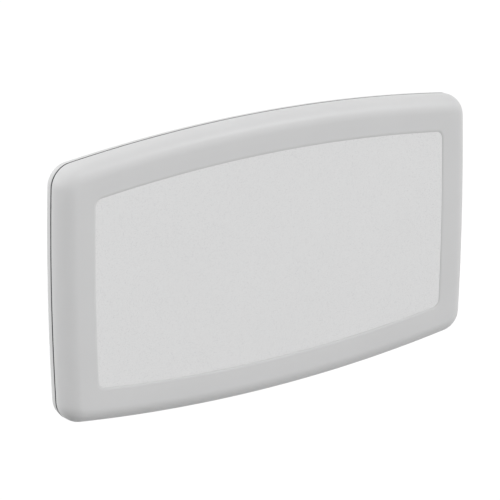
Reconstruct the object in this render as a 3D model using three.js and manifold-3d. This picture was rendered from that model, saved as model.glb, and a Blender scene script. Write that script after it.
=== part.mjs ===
// Wall-mounted horizontal baby changing station, closed against the wall.
// Millimetres. +X to the right, +Y into the wall, +Z up.
// The origin is the middle of the steel chassis' back face, where it meets the wall.
import * as THREE from 'three';
import { mergeVertices } from 'three/addons/utils/BufferGeometryUtils.js';
import Module from 'manifold-3d';

// Whole object
const WIDTH = 940;
const HEIGHT = 537;
const DEPTH = 102;
const EDGE_BOW = 33;
const SIDE_BOW = 7.5;
const CORNER_RADIUS = 44;
const GAP = 0.3;
const OVERSHOOT = 1;
const HAIR = 0.01;

// Bed shells and front panel
const BED_DEPTH = 39;
const BED_WALL = 3;
const FRONT_RADIUS = 32;
const FRONT_CORNER = 18;
const FRAME_WIDTH = 63;
const RECESS_BEVEL = 7;
const RECESS_DEPTH = 2.8;
const RECESS_CORNER = 15;
const PANEL_THICKNESS = 1.5;
const TRAY_WALL = 2.5;
const TRAY_RIM = 58;
const TRAY_RUN = 110;
const TRAY_DEPTH = 26;
const TRAY_CORNER = 52;

// Wall housing
const PARTING_GAP = 2.2;
const FLANGE_DEPTH = 15;
const FLANGE_DRAFT = 2.5;
const FLANGE_ROUND = 2.5;
const HOUSING_WALL = 3;
const HOUSING_INSET = 46;
const HOUSING_CORNER = 26;
const HOUSING_DRAFT = 1;
const FIELD_INSET = 60;
const FIELD_DEPTH = 2;
const FIELD_BEVEL = 2;
const FIELD_STEP = 1;

// Hinge
const LIP_HEIGHT = 28;
const LIP_STRIP = 4.8;
const KNUCKLE_PAIRS = 7;
const KNUCKLE_RADIUS = 5;
const KNUCKLE_SPACE = 0.8;
const KNUCKLE_ROOM = 1.5;
const BED_STOP_GAP = 0.4;
const HINGE_PIN_RADIUS = 2.5;
const HINGE_PIN_HEAD = 2.5;
const HINGE_PIN_STEP = 1.5;
const LEAF_THICKNESS = 2.5;
const BED_LEAF_HEIGHT = 26;
const WALL_LEAF_HEIGHT = 46;
const LEAF_NOTCH_ROOM = 1;
const CHANNEL_WING = 9;

// Steel chassis
const STEEL = 3;
const CHASSIS_TOP_INSET = 78.5;
const CHASSIS_FLANGE = 22;
const CHASSIS_SHELF_RISE = 46.5;
const CHASSIS_LIP = 29;
const STUD_SPACING = 406.4;
const STUD_ROW = 130;
const STUD_SLOT_LENGTH = 24;
const STUD_SLOT_WIDTH = 9;
const CENTRE_HOLE_SPACING = 120;

// Gas springs and their levers
const LEVER_X = 160;
const LEVER_THICKNESS = 4;
const LEVER_REACH = 16.5;
const LEVER_SPREAD = 0.94;
const LEVER_SIDE_PLAY = 5;
const LEVER_ARM = 22;
const LEVER_SLOT_WALL = 3.2;
const LEVER_BOSS_ROOM = 2;
const LEVER_WINDOW_ROOM = 6;
const LEVER_NOTCH_ROOM = 8;
const SLOT_CLEARANCE = 1.4;
const CROSS_PIN_RADIUS = 3;
const CROSS_PIN_END = 1.5;
const ROD_OFFSET = 10;
const ROD_RADIUS = 4;
const ROD_HOLE_ROOM = 2;
const ROD_EYE_RADIUS = 6;
const ROD_EYE_WIDTH = 11;
const ROD_LENGTH = 128;
const PISTON_RADIUS = 7;
const PISTON_LENGTH = 12;
const CYLINDER_RADIUS = 9;
const CYLINDER_BORE = 7.5;
const CYLINDER_RISE = 8;
const CYLINDER_LENGTH = 140;
const CYLINDER_CAP = 8;
const CYLINDER_CHAMFER = 1;
const TANG_THICKNESS = 6;
const TANG_HEIGHT = 20;
const TANG_ROOT = 2;
const TOP_PIN_RADIUS = 3;
const TOP_PIN_HEAD = 2.5;
const TOP_PIN_STEP = 2;
const BRACKET_HEIGHT = 20;
const BRACKET_LIP = 3;

// Liner dispensers
const LINER_X = 97;
const LINER_ABOVE_SPRING = 10;
const WINDOW_WIDTH = 176;
const WINDOW_HEIGHT = 112;
const WINDOW_CORNER = 8;
const DOOR_CLEARANCE = 0.8;
const DOOR_BARREL_RADIUS = 3.5;
const DOOR_PIVOT_RISE = 6;
const DOOR_PIVOT_RADIUS = 2;
const DOOR_LUG_WIDTH = 4;
const DOOR_LUG_WALL = 2.5;
const DOOR_LUG_CAP = 1;
const DOOR_SLOT_WIDTH = 108;
const DOOR_SLOT_HEIGHT = 26;
const DOOR_SLOT_RISE = 6;
const DOOR_NOTCH_RADIUS = 13;
const BIN_WALL = 2;
const BIN_CLEARANCE = 1.5;
const BIN_FRONT_GAP = 0.8;

// Strap and cam buckle
const STRAP_WIDTH = 38;
const STRAP_THICKNESS = 1.4;
const STRAP_SLOT = 6;
const STRAP_SIDE_PLAY = 1.5;
const STRAP_TURN = 12;
const STRAP_RAMP = 16;
const STRAP_TAIL = 46;
const ANCHOR_LENGTH = 62;
const ANCHOR_HEIGHT = 20;
const ANCHOR_THICKNESS = 2.5;
const BUCKLE_Z = -40;
const BUCKLE_LENGTH = 44;
const BUCKLE_WALL = 2;
const BUCKLE_CHEEK = 9.5;
const BUCKLE_SIDE_PLAY = 1;
const BUCKLE_PIN_RADIUS = 1.8;
const BUCKLE_PIN_HEAD = 1;
const CAM_RADIUS = 4.2;
const CAM_LEVER_LENGTH = 25;
const CAM_LEVER_THICKNESS = 2.6;
const CAM_TIP_LENGTH = 2;
const CAM_TIP_RISE = 1.5;

// Hooks, bumpers and screws
const HOOK_FROM_END = 140;
const HOOK_Z = 80;
const HOOK_WIDTH = 24;
const HOOK_PLATE = 46;
const HOOK_REACH = 17;
const HOOK_THICKNESS = 4;
const HOOK_TIP = 17;
const BUMPER_RADIUS = 7;
const BUMPER_STEM = 3;
const BUMPER_INSET = 30;
const BUMPER_TOP_FROM_END = 220;
const BUMPER_LOW_FROM_END = 65;
const BUMPER_LOW_RISE = 64;
const TRAY_SCREW_INSET = 29;
const TRAY_SCREW_FROM_END = 131;
const TRAY_SCREW_PAST_HINGE = 72;
const TRAY_SCREW_LENGTH = 20;
const TRAY_SCREW_RADIUS = 1.6;
const TRAY_SCREW_HEAD = 3.8;
const TRAY_BOSS_RADIUS = 5.5;
const HOUSING_SCREW_EDGE = 28;
const HOUSING_SCREW_DROP = 40;
const HOUSING_SCREW_RISE = 44;
const HOUSING_SCREW_RADIUS = 2.4;
const HOUSING_SCREW_HEAD = 5;
const HOUSING_SCREW_CROWN = 2.4;
const HOUSING_BOSS_RADIUS = 8;

// Smoothness of the faceted solids
const EDGE_STEPS = 10;
const SIDE_STEPS = 4;
const CORNER_STEPS = 5;
const ROUND_STEPS = 5;
const ARC_STEPS = 3;
const TRAY_STEPS = 6;
const ROUND_SIDES = 14;
const SMALL_SIDES = 10;

// Places that follow from the sizes
const frontY = -DEPTH;
const bedRimY = frontY + BED_DEPTH;
const flangeY = bedRimY + PARTING_GAP;
const flangeBackY = flangeY + FLANGE_DEPTH;
const fieldY = flangeY + FIELD_DEPTH;
const fieldBackY = fieldY + HOUSING_WALL;
const plateY = -STEEL;
const axisY = (bedRimY + flangeY) / 2;
const axisZ = LIP_HEIGHT - HEIGHT / 2;
const chassisTop = HEIGHT / 2 - CHASSIS_TOP_INSET;
const shelfZ = axisZ + CHASSIS_SHELF_RISE;
const bedLeafY = axisY - KNUCKLE_RADIUS;
const wallLeafY = axisY + KNUCKLE_RADIUS;
const lipY = wallLeafY + GAP + STEEL;
const rodY = axisY + LEVER_REACH;
const crossPinZ = axisZ - LEVER_REACH * LEVER_SPREAD;
const cylinderBottom = shelfZ + CYLINDER_RISE;
const cylinderTop = cylinderBottom + CYLINDER_LENGTH;
const topPinZ = cylinderTop + TANG_HEIGHT - TANG_THICKNESS;
const leverTip = LEVER_REACH * Math.SQRT2 + SLOT_CLEARANCE + CROSS_PIN_RADIUS;
const leverHalfWidth = CROSS_PIN_RADIUS + SLOT_CLEARANCE + LEVER_SLOT_WALL;
const linerZ = topPinZ + BRACKET_HEIGHT / 2 + LINER_ABOVE_SPRING + WINDOW_HEIGHT / 2;
const doorPivotY = fieldY + DOOR_BARREL_RADIUS;
const doorPivotZ = linerZ - WINDOW_HEIGHT / 2 + DOOR_PIVOT_RISE;
const trayFloorY = bedRimY - TRAY_DEPTH;
const hookX = WIDTH / 2 - HOOK_FROM_END;

const wasm = await Module();
wasm.setup();

// Booleans
function solid(geometry) {
  const bare = geometry.index ? geometry.toNonIndexed() : geometry.clone();
  bare.deleteAttribute('normal');
  bare.deleteAttribute('uv');
  const merged = mergeVertices(bare, 1e-4);
  return new wasm.Manifold(new wasm.Mesh({
    numProp: 3,
    vertProperties: new Float32Array(merged.attributes.position.array),
    triVerts: new Uint32Array(merged.index.array),
  }));
}

function geometryOf(manifold) {
  const mesh = manifold.getMesh();
  const geometry = new THREE.BufferGeometry();
  geometry.setAttribute('position', new THREE.BufferAttribute(mesh.vertProperties.slice(), 3));
  geometry.setIndex(new THREE.BufferAttribute(mesh.triVerts.slice(), 1));
  return geometry;
}

function cut(geometry, tools) {
  return geometryOf(tools.reduce((body, tool) => body.subtract(solid(tool)), solid(geometry)));
}

function join(geometry, extras) {
  return geometryOf(extras.reduce((body, extra) => body.add(solid(extra)), solid(geometry)));
}

// Simple solids
function block([x0, x1], [y0, y1], [z0, z1]) {
  const geometry = new THREE.BoxGeometry(x1 - x0, y1 - y0, z1 - z0);
  return geometry.translate((x0 + x1) / 2, (y0 + y1) / 2, (z0 + z1) / 2);
}

function rodAlongX(radius, [x0, x1], y, z, sides = ROUND_SIDES) {
  const geometry = new THREE.CylinderGeometry(radius, radius, x1 - x0, sides);
  return geometry.rotateZ(Math.PI / 2).translate((x0 + x1) / 2, y, z);
}

function rodAlongY(radius, [y0, y1], x, z, sides = ROUND_SIDES) {
  const geometry = new THREE.CylinderGeometry(radius, radius, y1 - y0, sides);
  return geometry.translate(x, (y0 + y1) / 2, z);
}

function rodAlongZ(radius, [z0, z1], x, y, sides = ROUND_SIDES) {
  const geometry = new THREE.CylinderGeometry(radius, radius, z1 - z0, sides);
  return geometry.rotateX(Math.PI / 2).translate(x, y, (z0 + z1) / 2);
}

// A section drawn in (y, z), extruded along X
function extrudeX(shape, [x0, x1]) {
  const geometry = new THREE.ExtrudeGeometry(shape, {
    depth: x1 - x0, bevelEnabled: false, curveSegments: ARC_STEPS,
  });
  const turn = new THREE.Matrix4().set(0, 0, 1, x0, 1, 0, 0, 0, 0, 1, 0, 0, 0, 0, 0, 1);
  return geometry.applyMatrix4(turn);
}

// An outline drawn in (x, z), extruded along Y
function extrudeY(shape, [y0, y1]) {
  const geometry = new THREE.ExtrudeGeometry(shape, {
    depth: y1 - y0, bevelEnabled: false, curveSegments: ARC_STEPS,
  });
  const turn = new THREE.Matrix4().set(1, 0, 0, 0, 0, 0, -1, y1, 0, 1, 0, 0, 0, 0, 0, 1);
  return geometry.applyMatrix4(turn);
}

function polygon(points) {
  return new THREE.Shape(points.map(([u, v]) => new THREE.Vector2(u, v)));
}

function roundedRectangle(centreU, centreV, width, height, radius) {
  const u = width / 2 - radius;
  const v = height / 2 - radius;
  const shape = new THREE.Shape();
  shape.absarc(centreU + u, centreV + v, radius, 0, Math.PI / 2);
  shape.absarc(centreU - u, centreV + v, radius, Math.PI / 2, Math.PI);
  shape.absarc(centreU - u, centreV - v, radius, Math.PI, 1.5 * Math.PI);
  shape.absarc(centreU + u, centreV - v, radius, 1.5 * Math.PI, 2 * Math.PI);
  return shape;
}

// The bowed outline: four large arcs joined by round corners
function bowRadius(span, bow) {
  return ((span / 2) ** 2 + bow ** 2) / (2 * bow);
}

const edgeRadius = bowRadius(WIDTH, EDGE_BOW);
const sideRadius = bowRadius(HEIGHT, SIDE_BOW);

// Height of the outline's top edge above the middle at a given x
function edgeHeight(x) {
  return HEIGHT / 2 - edgeRadius + Math.sqrt(edgeRadius ** 2 - x ** 2);
}

// The hinge ends where the strip of tray below its knuckles gets too low
const hingeDrop = LIP_HEIGHT - KNUCKLE_RADIUS - KNUCKLE_ROOM - LIP_STRIP - BED_WALL - GAP;
const hingeRoom = Math.sqrt(2 * edgeRadius * hingeDrop - hingeDrop ** 2);
const hingeHalf = hingeRoom - HINGE_PIN_HEAD - KNUCKLE_ROOM;
const knuckleCount = 2 * KNUCKLE_PAIRS + 1;
const knucklePitch = (2 * hingeHalf) / knuckleCount;

// The levers take the place of the bed knuckles nearest to LEVER_X
const bedKnuckles = Array.from({ length: KNUCKLE_PAIRS }, (_, i) => (2 * i + 1 - KNUCKLE_PAIRS) * knucklePitch);
const leverX = bedKnuckles.reduce((best, x) => (Math.abs(x - LEVER_X) < Math.abs(best - LEVER_X) ? x : best));
const leverBossLength = knucklePitch - 2 * LEVER_SIDE_PLAY;
const rodX = leverX + ROD_OFFSET;

function arcPoints(centre, radius, from, to, steps) {
  return Array.from({ length: steps }, (_, i) => {
    const angle = from + ((to - from) * i) / steps;
    return new THREE.Vector2(centre.x + radius * Math.cos(angle), centre.y + radius * Math.sin(angle));
  });
}

// Points of the outline moved inwards by inset, anticlockwise seen from the front
function outline(inset, corner) {
  const pull = inset + corner;
  const edgeCentre = new THREE.Vector2(0, HEIGHT / 2 - edgeRadius);
  const sideCentre = new THREE.Vector2(WIDTH / 2 - sideRadius, 0);
  const edge = edgeRadius - pull;
  const side = sideRadius - pull;
  const between = sideCentre.clone().sub(edgeCentre);
  const along = (edge ** 2 - side ** 2 + between.lengthSq()) / (2 * between.length());
  const across = Math.sqrt(edge ** 2 - along ** 2);
  const unit = between.clone().normalize();
  const pivot = new THREE.Vector2(
    edgeCentre.x + along * unit.x + across * unit.y,
    edgeCentre.y + along * unit.y - across * unit.x,
  );
  const sideAngle = pivot.clone().sub(sideCentre).angle();
  const edgeAngle = pivot.clone().sub(edgeCentre).angle();
  const quarter = [
    ...arcPoints(sideCentre, side + corner, 0, sideAngle, SIDE_STEPS / 2),
    ...arcPoints(pivot, corner, sideAngle, edgeAngle, CORNER_STEPS),
    ...arcPoints(edgeCentre, edge + corner, edgeAngle, Math.PI / 2, EDGE_STEPS / 2),
  ];
  const top = new THREE.Vector2(0, HEIGHT / 2 - inset);
  const mirrored = quarter.slice(1).reverse().map((p) => new THREE.Vector2(-p.x, p.y));
  const left = new THREE.Vector2(inset - WIDTH / 2, 0);
  const upper = [...quarter, top, ...mirrored, left];
  const lower = upper.slice(1, -1).reverse().map((p) => new THREE.Vector2(p.x, -p.y));
  return [...upper, ...lower];
}

// A closed solid through a series of outlines, flat at its first and last one
function loft(rings) {
  const sections = rings.map(({ inset, corner, y }) => ({ points: outline(inset, corner), y }));
  const count = sections[0].points.length;
  const vertices = sections.flatMap(({ points, y }) => points.flatMap((p) => [p.x, y, p.y]));
  const faces = [];
  for (let ring = 0; ring < sections.length - 1; ring += 1) {
    for (let i = 0; i < count; i += 1) {
      const a = ring * count + i;
      const b = ring * count + ((i + 1) % count);
      faces.push(a, b, a + count, b, b + count, a + count);
    }
  }
  const last = (sections.length - 1) * count;
  for (const [a, b, c] of THREE.ShapeUtils.triangulateShape(sections[0].points, [])) {
    faces.push(a, c, b);
  }
  for (const [a, b, c] of THREE.ShapeUtils.triangulateShape(sections.at(-1).points, [])) {
    faces.push(last + a, last + b, last + c);
  }
  const geometry = new THREE.BufferGeometry();
  geometry.setAttribute('position', new THREE.Float32BufferAttribute(vertices, 3));
  geometry.setIndex(faces.reverse());
  return geometry;
}

function cornerAt(inset) {
  return Math.max(CORNER_RADIUS - inset, FRONT_CORNER);
}

// Bed: outer shell
function frontRound(radius, wall) {
  return Array.from({ length: ROUND_STEPS + 1 }, (_, i) => {
    const angle = (i / ROUND_STEPS) * (Math.PI / 2);
    const inset = FRONT_RADIUS - radius * Math.sin(angle);
    return { inset, corner: cornerAt(inset), y: frontY + wall + radius - radius * Math.cos(angle) };
  });
}

const recessInset = FRAME_WIDTH + RECESS_BEVEL;
const panelY = frontY + RECESS_DEPTH;
const recessFloorY = panelY + PANEL_THICKNESS + GAP;

function traySeats() {
  const reach = WIDTH / 2 - TRAY_SCREW_FROM_END;
  const topX = [-1, -1 / 3, 1 / 3, 1].map((share) => share * reach);
  const lowX = [-1, 1].map((side) => side * (hingeHalf + TRAY_SCREW_PAST_HINGE));
  const sideX = [-1, 1].map((side) => side * (WIDTH / 2 - TRAY_SCREW_INSET));
  return [
    ...topX.map((x) => ({ x, z: edgeHeight(x) - TRAY_SCREW_INSET })),
    ...lowX.map((x) => ({ x, z: TRAY_SCREW_INSET - edgeHeight(x) })),
    ...sideX.map((x) => ({ x, z: 0 })),
  ];
}

function bedOuterShell() {
  const skin = loft([
    { inset: recessInset, corner: RECESS_CORNER, y: recessFloorY },
    { inset: recessInset, corner: RECESS_CORNER, y: panelY },
    { inset: FRAME_WIDTH, corner: RECESS_CORNER + RECESS_BEVEL / 2, y: frontY },
    ...frontRound(FRONT_RADIUS, 0),
    { inset: 0, corner: CORNER_RADIUS, y: bedRimY },
    { inset: BED_WALL, corner: CORNER_RADIUS - BED_WALL, y: bedRimY },
    ...frontRound(FRONT_RADIUS - BED_WALL, BED_WALL).reverse(),
    { inset: FRAME_WIDTH - BED_WALL, corner: FRONT_CORNER + BED_WALL, y: frontY + BED_WALL },
    { inset: recessInset - BED_WALL / 2, corner: RECESS_CORNER + BED_WALL, y: recessFloorY + BED_WALL },
  ]);
  const bossBack = bedRimY - TRAY_WALL - GAP;
  const bossFront = frontY + BED_WALL / 2;
  const bosses = traySeats().map(({ x, z }) => (
    rodAlongY(TRAY_BOSS_RADIUS, [bossFront, bossBack], x, z, SMALL_SIDES)
  ));
  const boreRadius = TRAY_SCREW_RADIUS + GAP;
  const boreFront = bedRimY - TRAY_SCREW_LENGTH - 2 * GAP;
  const bores = traySeats().map(({ x, z }) => rodAlongY(boreRadius, [boreFront, bedRimY], x, z, SMALL_SIDES));
  return cut(join(skin, bosses), bores);
}

// Bed: speckled panel let into the front recess
function frontPanel() {
  const inset = recessInset + GAP;
  return loft([
    { inset, corner: RECESS_CORNER, y: panelY },
    { inset, corner: RECESS_CORNER, y: panelY + PANEL_THICKNESS },
  ]);
}

// Bed: tray that the child lies in
function trayStep(share) {
  return { inset: TRAY_RIM + TRAY_RUN * share, depth: TRAY_DEPTH * share * share * (3 - 2 * share) };
}

function trayRings(shift) {
  return Array.from({ length: TRAY_STEPS + 1 }, (_, i) => {
    const { inset, depth } = trayStep(i / TRAY_STEPS);
    return { inset, corner: TRAY_CORNER, y: bedRimY - depth - shift };
  });
}

function countersink(radius, head, length) {
  return [[0, -length], [radius, -length], [radius, radius - head], [head, 0], [0, 0]];
}

function latheAlongY(points, sides) {
  return new THREE.LatheGeometry(points.map(([r, y]) => new THREE.Vector2(r, y)), sides);
}

const strapSegment = [2, 3].map((i) => trayStep(i / TRAY_STEPS));
const strapSlotInset = (strapSegment[0].inset + strapSegment[1].inset) / 2;
const strapSlotDepth = (strapSegment[0].depth + strapSegment[1].depth) / 2;
const strapSlotZ = HEIGHT / 2 - strapSlotInset;
const strapSlope = Math.atan2(
  strapSegment[1].depth - strapSegment[0].depth,
  strapSegment[1].inset - strapSegment[0].inset,
);

function bedTray() {
  const edge = { inset: BED_WALL + GAP, corner: CORNER_RADIUS - BED_WALL - GAP };
  const skin = loft([
    ...trayRings(TRAY_WALL).reverse(),
    { ...edge, y: bedRimY - TRAY_WALL },
    { ...edge, y: bedRimY },
    ...trayRings(0),
  ]);
  const hingeWindow = block(
    [-hingeRoom, hingeRoom],
    [bedRimY - TRAY_DEPTH, bedRimY + OVERSHOOT],
    [axisZ - KNUCKLE_RADIUS - KNUCKLE_ROOM, axisZ + BED_LEAF_HEIGHT + KNUCKLE_ROOM],
  );
  const half = STRAP_WIDTH / 2 + STRAP_SIDE_PLAY;
  const strapSlots = [-1, 1].map((side) => block(
    [-half, half],
    [trayFloorY, bedRimY],
    [side * strapSlotZ - STRAP_SLOT / 2, side * strapSlotZ + STRAP_SLOT / 2],
  ));
  const holes = traySeats().map(({ x, z }) => latheAlongY(
    countersink(TRAY_SCREW_RADIUS + GAP, TRAY_SCREW_HEAD + GAP, TRAY_SCREW_LENGTH),
    SMALL_SIDES,
  ).translate(x, bedRimY, z));
  return cut(skin, [hingeWindow, ...strapSlots, ...holes]);
}

function trayScrew() {
  return latheAlongY(countersink(TRAY_SCREW_RADIUS, TRAY_SCREW_HEAD, TRAY_SCREW_LENGTH), SMALL_SIDES);
}

// Hinge: knuckles alternate between the wall leaf and the bed leaf
function knuckleSpan(index) {
  const start = index * knucklePitch - hingeHalf;
  return [start + KNUCKLE_SPACE / 2, start + knucklePitch - KNUCKLE_SPACE / 2];
}

function coversLever([x0, x1]) {
  return [-leverX, leverX].some((x) => x > x0 && x < x1);
}

function hingeLeaf(parity, [y0, y1], height) {
  const spans = Array.from({ length: knuckleCount }, (_, i) => knuckleSpan(i));
  const own = spans.filter((span, i) => i % 2 === parity && !coversLever(span));
  const others = spans.filter((span) => !own.includes(span));
  const web = block([-hingeHalf, hingeHalf], [y0, y1], [axisZ, axisZ + height]);
  const barrels = own.map((span) => rodAlongX(KNUCKLE_RADIUS, span, axisY, axisZ));
  const reliefHeight = axisZ + KNUCKLE_RADIUS + KNUCKLE_ROOM;
  const reliefs = others.map(([x0, x1]) => block(
    [x0 - KNUCKLE_SPACE, x1 + KNUCKLE_SPACE],
    [y0 - OVERSHOOT, y1 + OVERSHOOT],
    [axisZ - OVERSHOOT, reliefHeight],
  ));
  const bore = rodAlongX(HINGE_PIN_RADIUS + GAP, [-WIDTH, WIDTH], axisY, axisZ, SMALL_SIDES);
  return cut(join(cut(web, reliefs), barrels), [bore]);
}

function leverWindows(halfWidth, depth, top) {
  return [-1, 1].map((side) => block(
    [side * leverX - halfWidth, side * leverX + halfWidth],
    depth,
    [axisZ - leverTip - leverHalfWidth, top],
  ));
}

const leverSweepTop = axisZ + leverTip + leverHalfWidth;

function hingeWallLeaf() {
  const leaf = hingeLeaf(0, [wallLeafY - LEAF_THICKNESS, wallLeafY], WALL_LEAF_HEIGHT);
  const halfWidth = leverBossLength / 2 + LEVER_BOSS_ROOM;
  return cut(leaf, leverWindows(halfWidth, [axisY, lipY], axisZ + LEVER_ARM + LEVER_WINDOW_ROOM));
}

function hingeBedLeaf() {
  return hingeLeaf(1, [bedLeafY, bedLeafY + LEAF_THICKNESS], BED_LEAF_HEIGHT);
}

function hingePin() {
  const half = hingeHalf + GAP;
  const shaft = rodAlongX(HINGE_PIN_RADIUS, [-half, half], axisY, axisZ, SMALL_SIDES);
  const headRadius = HINGE_PIN_RADIUS + HINGE_PIN_STEP;
  const head = rodAlongX(headRadius, [half, half + HINGE_PIN_HEAD], axisY, axisZ, SMALL_SIDES);
  const foot = rodAlongX(headRadius, [-half - HINGE_PIN_HEAD, -half], axisY, axisZ, SMALL_SIDES);
  return join(shaft, [head, foot]);
}

// Bed: steel channel behind the hinge leaf
function bedChannel() {
  const web = bedLeafY - GAP;
  const low = axisZ - KNUCKLE_RADIUS;
  const high = axisZ + BED_LEAF_HEIGHT;
  const wing = web - CHANNEL_WING;
  return extrudeX(polygon([
    [web, low], [web, high], [wing, high], [wing, high - LEAF_THICKNESS],
    [web - LEAF_THICKNESS, high - LEAF_THICKNESS], [web - LEAF_THICKNESS, low + LEAF_THICKNESS],
    [wing, low + LEAF_THICKNESS], [wing, low],
  ]), [-hingeHalf, hingeHalf]);
}

// Bed: slotted lever that lifts the gas spring's rod as the bed comes down
function liftLever() {
  const arm = new THREE.Shape();
  const bedSide = bedLeafY + LEAF_THICKNESS + GAP - axisY;
  const back = KNUCKLE_RADIUS - LEAF_THICKNESS;
  const reach = LEVER_REACH * Math.SQRT2;
  const across = leverHalfWidth * Math.SQRT1_2;
  const tip = reach * Math.SQRT1_2;
  arm.moveTo(bedSide, LEVER_ARM);
  arm.lineTo(bedSide, 0);
  arm.lineTo(tip - across, -tip - across);
  arm.absarc(tip, -tip, leverHalfWidth, -0.75 * Math.PI, 0.25 * Math.PI);
  arm.lineTo(back + across, KNUCKLE_RADIUS);
  arm.lineTo(back, LEVER_ARM);
  const slotHalf = CROSS_PIN_RADIUS + SLOT_CLEARANCE;
  const near = LEVER_REACH * Math.SQRT1_2;
  const slot = new THREE.Path();
  slot.absarc(tip, -tip, slotHalf, -0.75 * Math.PI, 0.25 * Math.PI);
  slot.absarc(near, -near, slotHalf, 0.25 * Math.PI, 1.25 * Math.PI);
  arm.holes.push(slot);
  const plate = extrudeX(arm, [-LEVER_THICKNESS / 2, LEVER_THICKNESS / 2]);
  const boss = rodAlongX(KNUCKLE_RADIUS, [-leverBossLength / 2, leverBossLength / 2], 0, 0);
  const bore = rodAlongX(HINGE_PIN_RADIUS + GAP, [-leverBossLength, leverBossLength], 0, 0, SMALL_SIDES);
  const bedLeafBlock = block(
    [-leverBossLength, leverBossLength],
    [-2 * KNUCKLE_RADIUS, bedSide],
    [0, LEVER_ARM],
  );
  return cut(join(plate, [boss]), [bore, bedLeafBlock]);
}

// Gas spring: cylinder, modelled about its own axis with its lower end at zero
function gasCylinder() {
  const neck = ROD_RADIUS + GAP;
  const shoulder = CYLINDER_RADIUS - CYLINDER_CHAMFER;
  const innerTop = CYLINDER_LENGTH - CYLINDER_CAP;
  const tube = new THREE.LatheGeometry([
    [neck, 0], [shoulder, 0], [CYLINDER_RADIUS, CYLINDER_CHAMFER],
    [CYLINDER_RADIUS, CYLINDER_LENGTH - CYLINDER_CHAMFER], [shoulder, CYLINDER_LENGTH], [0, CYLINDER_LENGTH],
    [0, innerTop], [CYLINDER_BORE, innerTop], [CYLINDER_BORE, CYLINDER_CAP], [neck, CYLINDER_CAP], [neck, 0],
  ].map(([r, z]) => new THREE.Vector2(r, z)), ROUND_SIDES).rotateX(Math.PI / 2);
  const half = TANG_THICKNESS / 2;
  const eyeZ = topPinZ - cylinderBottom;
  const tang = block([-half, half], [-TANG_THICKNESS, TANG_THICKNESS], [CYLINDER_LENGTH - TANG_ROOT, eyeZ]);
  const eye = rodAlongX(TANG_THICKNESS, [-half, half], 0, eyeZ);
  const hole = rodAlongX(TOP_PIN_RADIUS + GAP, [-TANG_THICKNESS, TANG_THICKNESS], 0, eyeZ, SMALL_SIDES);
  return cut(join(tube, [tang, eye]), [hole]);
}

// Gas spring: rod with piston and an eye that holds the cross pin, eye centre at zero
function gasRod(side) {
  const shaft = rodAlongZ(ROD_RADIUS, [0, ROD_LENGTH], 0, 0, SMALL_SIDES);
  const piston = rodAlongZ(PISTON_RADIUS, [ROD_LENGTH - PISTON_LENGTH, ROD_LENGTH], 0, 0);
  const eye = rodAlongX(ROD_EYE_RADIUS, [-ROD_EYE_WIDTH / 2, ROD_EYE_WIDTH / 2], 0, 0);
  const inner = -side * (ROD_OFFSET + LEVER_THICKNESS);
  const outer = side * (ROD_EYE_WIDTH / 2 + CROSS_PIN_END);
  const pin = rodAlongX(CROSS_PIN_RADIUS, [Math.min(inner, outer), Math.max(inner, outer)], 0, 0, SMALL_SIDES);
  return join(shaft, [piston, eye, pin]);
}

// Gas spring: fork on the chassis for the cylinder's upper eye, pin centre at zero
const forkInner = TANG_THICKNESS / 2 + GAP;

function springBracket() {
  const outer = forkInner + STEEL;
  const back = plateY - GAP - rodY;
  const front = -TANG_THICKNESS - BRACKET_LIP;
  const half = BRACKET_HEIGHT / 2;
  const fork = block([-outer, outer], [front, back], [-half, half]);
  const slot = block(
    [-forkInner, forkInner],
    [front - OVERSHOOT, back - STEEL],
    [-half - OVERSHOOT, half + OVERSHOOT],
  );
  const hole = rodAlongX(TOP_PIN_RADIUS + GAP, [-2 * outer, 2 * outer], 0, 0, SMALL_SIDES);
  return cut(fork, [slot, hole]);
}

function springPin(side) {
  const reach = forkInner + STEEL + GAP;
  const shaft = rodAlongX(TOP_PIN_RADIUS, [-reach, reach + TOP_PIN_HEAD], 0, 0, SMALL_SIDES);
  const head = rodAlongX(TOP_PIN_RADIUS + TOP_PIN_STEP, [-reach - TOP_PIN_HEAD, -reach], 0, 0, SMALL_SIDES);
  const pin = join(shaft, [head]);
  return side < 0 ? pin.rotateZ(Math.PI) : pin;
}

// Wall: chassis bent from one steel sheet
function chassis() {
  const shelf = shelfZ;
  const flange = plateY - CHASSIS_FLANGE;
  const section = polygon([
    [0, shelf], [0, chassisTop], [flange, chassisTop], [flange, chassisTop - STEEL],
    [plateY, chassisTop - STEEL], [plateY, shelf + STEEL], [lipY - STEEL, shelf + STEEL],
    [lipY - STEEL, shelf + STEEL - CHASSIS_LIP], [lipY, shelf + STEEL - CHASSIS_LIP], [lipY, shelf],
  ]);
  const sheet = extrudeX(section, [-hingeHalf, hingeHalf]);
  const through = [plateY - OVERSHOOT, OVERSHOOT];
  const studSlots = [-1, 1].flatMap((side) => [-1, 1].map((row) => extrudeY(
    roundedRectangle(
      side * STUD_SPACING / 2, row * STUD_ROW,
      STUD_SLOT_LENGTH, STUD_SLOT_WIDTH, STUD_SLOT_WIDTH / 2 - HAIR,
    ),
    through,
  )));
  const centreHoles = [-1, 1].map((row) => rodAlongY(
    STUD_SLOT_WIDTH / 2, through, 0, row * CENTRE_HOLE_SPACING / 2, SMALL_SIDES,
  ));
  const screwHoles = housingSeats().map(({ x, z }) => rodAlongY(
    HOUSING_SCREW_RADIUS + GAP, through, x, z, SMALL_SIDES,
  ));
  const levers = leverWindows(
    LEVER_THICKNESS / 2 + LEVER_WINDOW_ROOM, [lipY - STEEL - OVERSHOOT, lipY + OVERSHOOT], leverSweepTop,
  );
  const rodHoles = [-1, 1].map((side) => rodAlongZ(
    ROD_RADIUS + ROD_HOLE_ROOM, [shelf - OVERSHOOT, shelf + STEEL + OVERSHOOT], side * rodX, rodY,
  ));
  return cut(sheet, [...studSlots, ...centreHoles, ...screwHoles, ...levers, ...rodHoles]);
}

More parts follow.
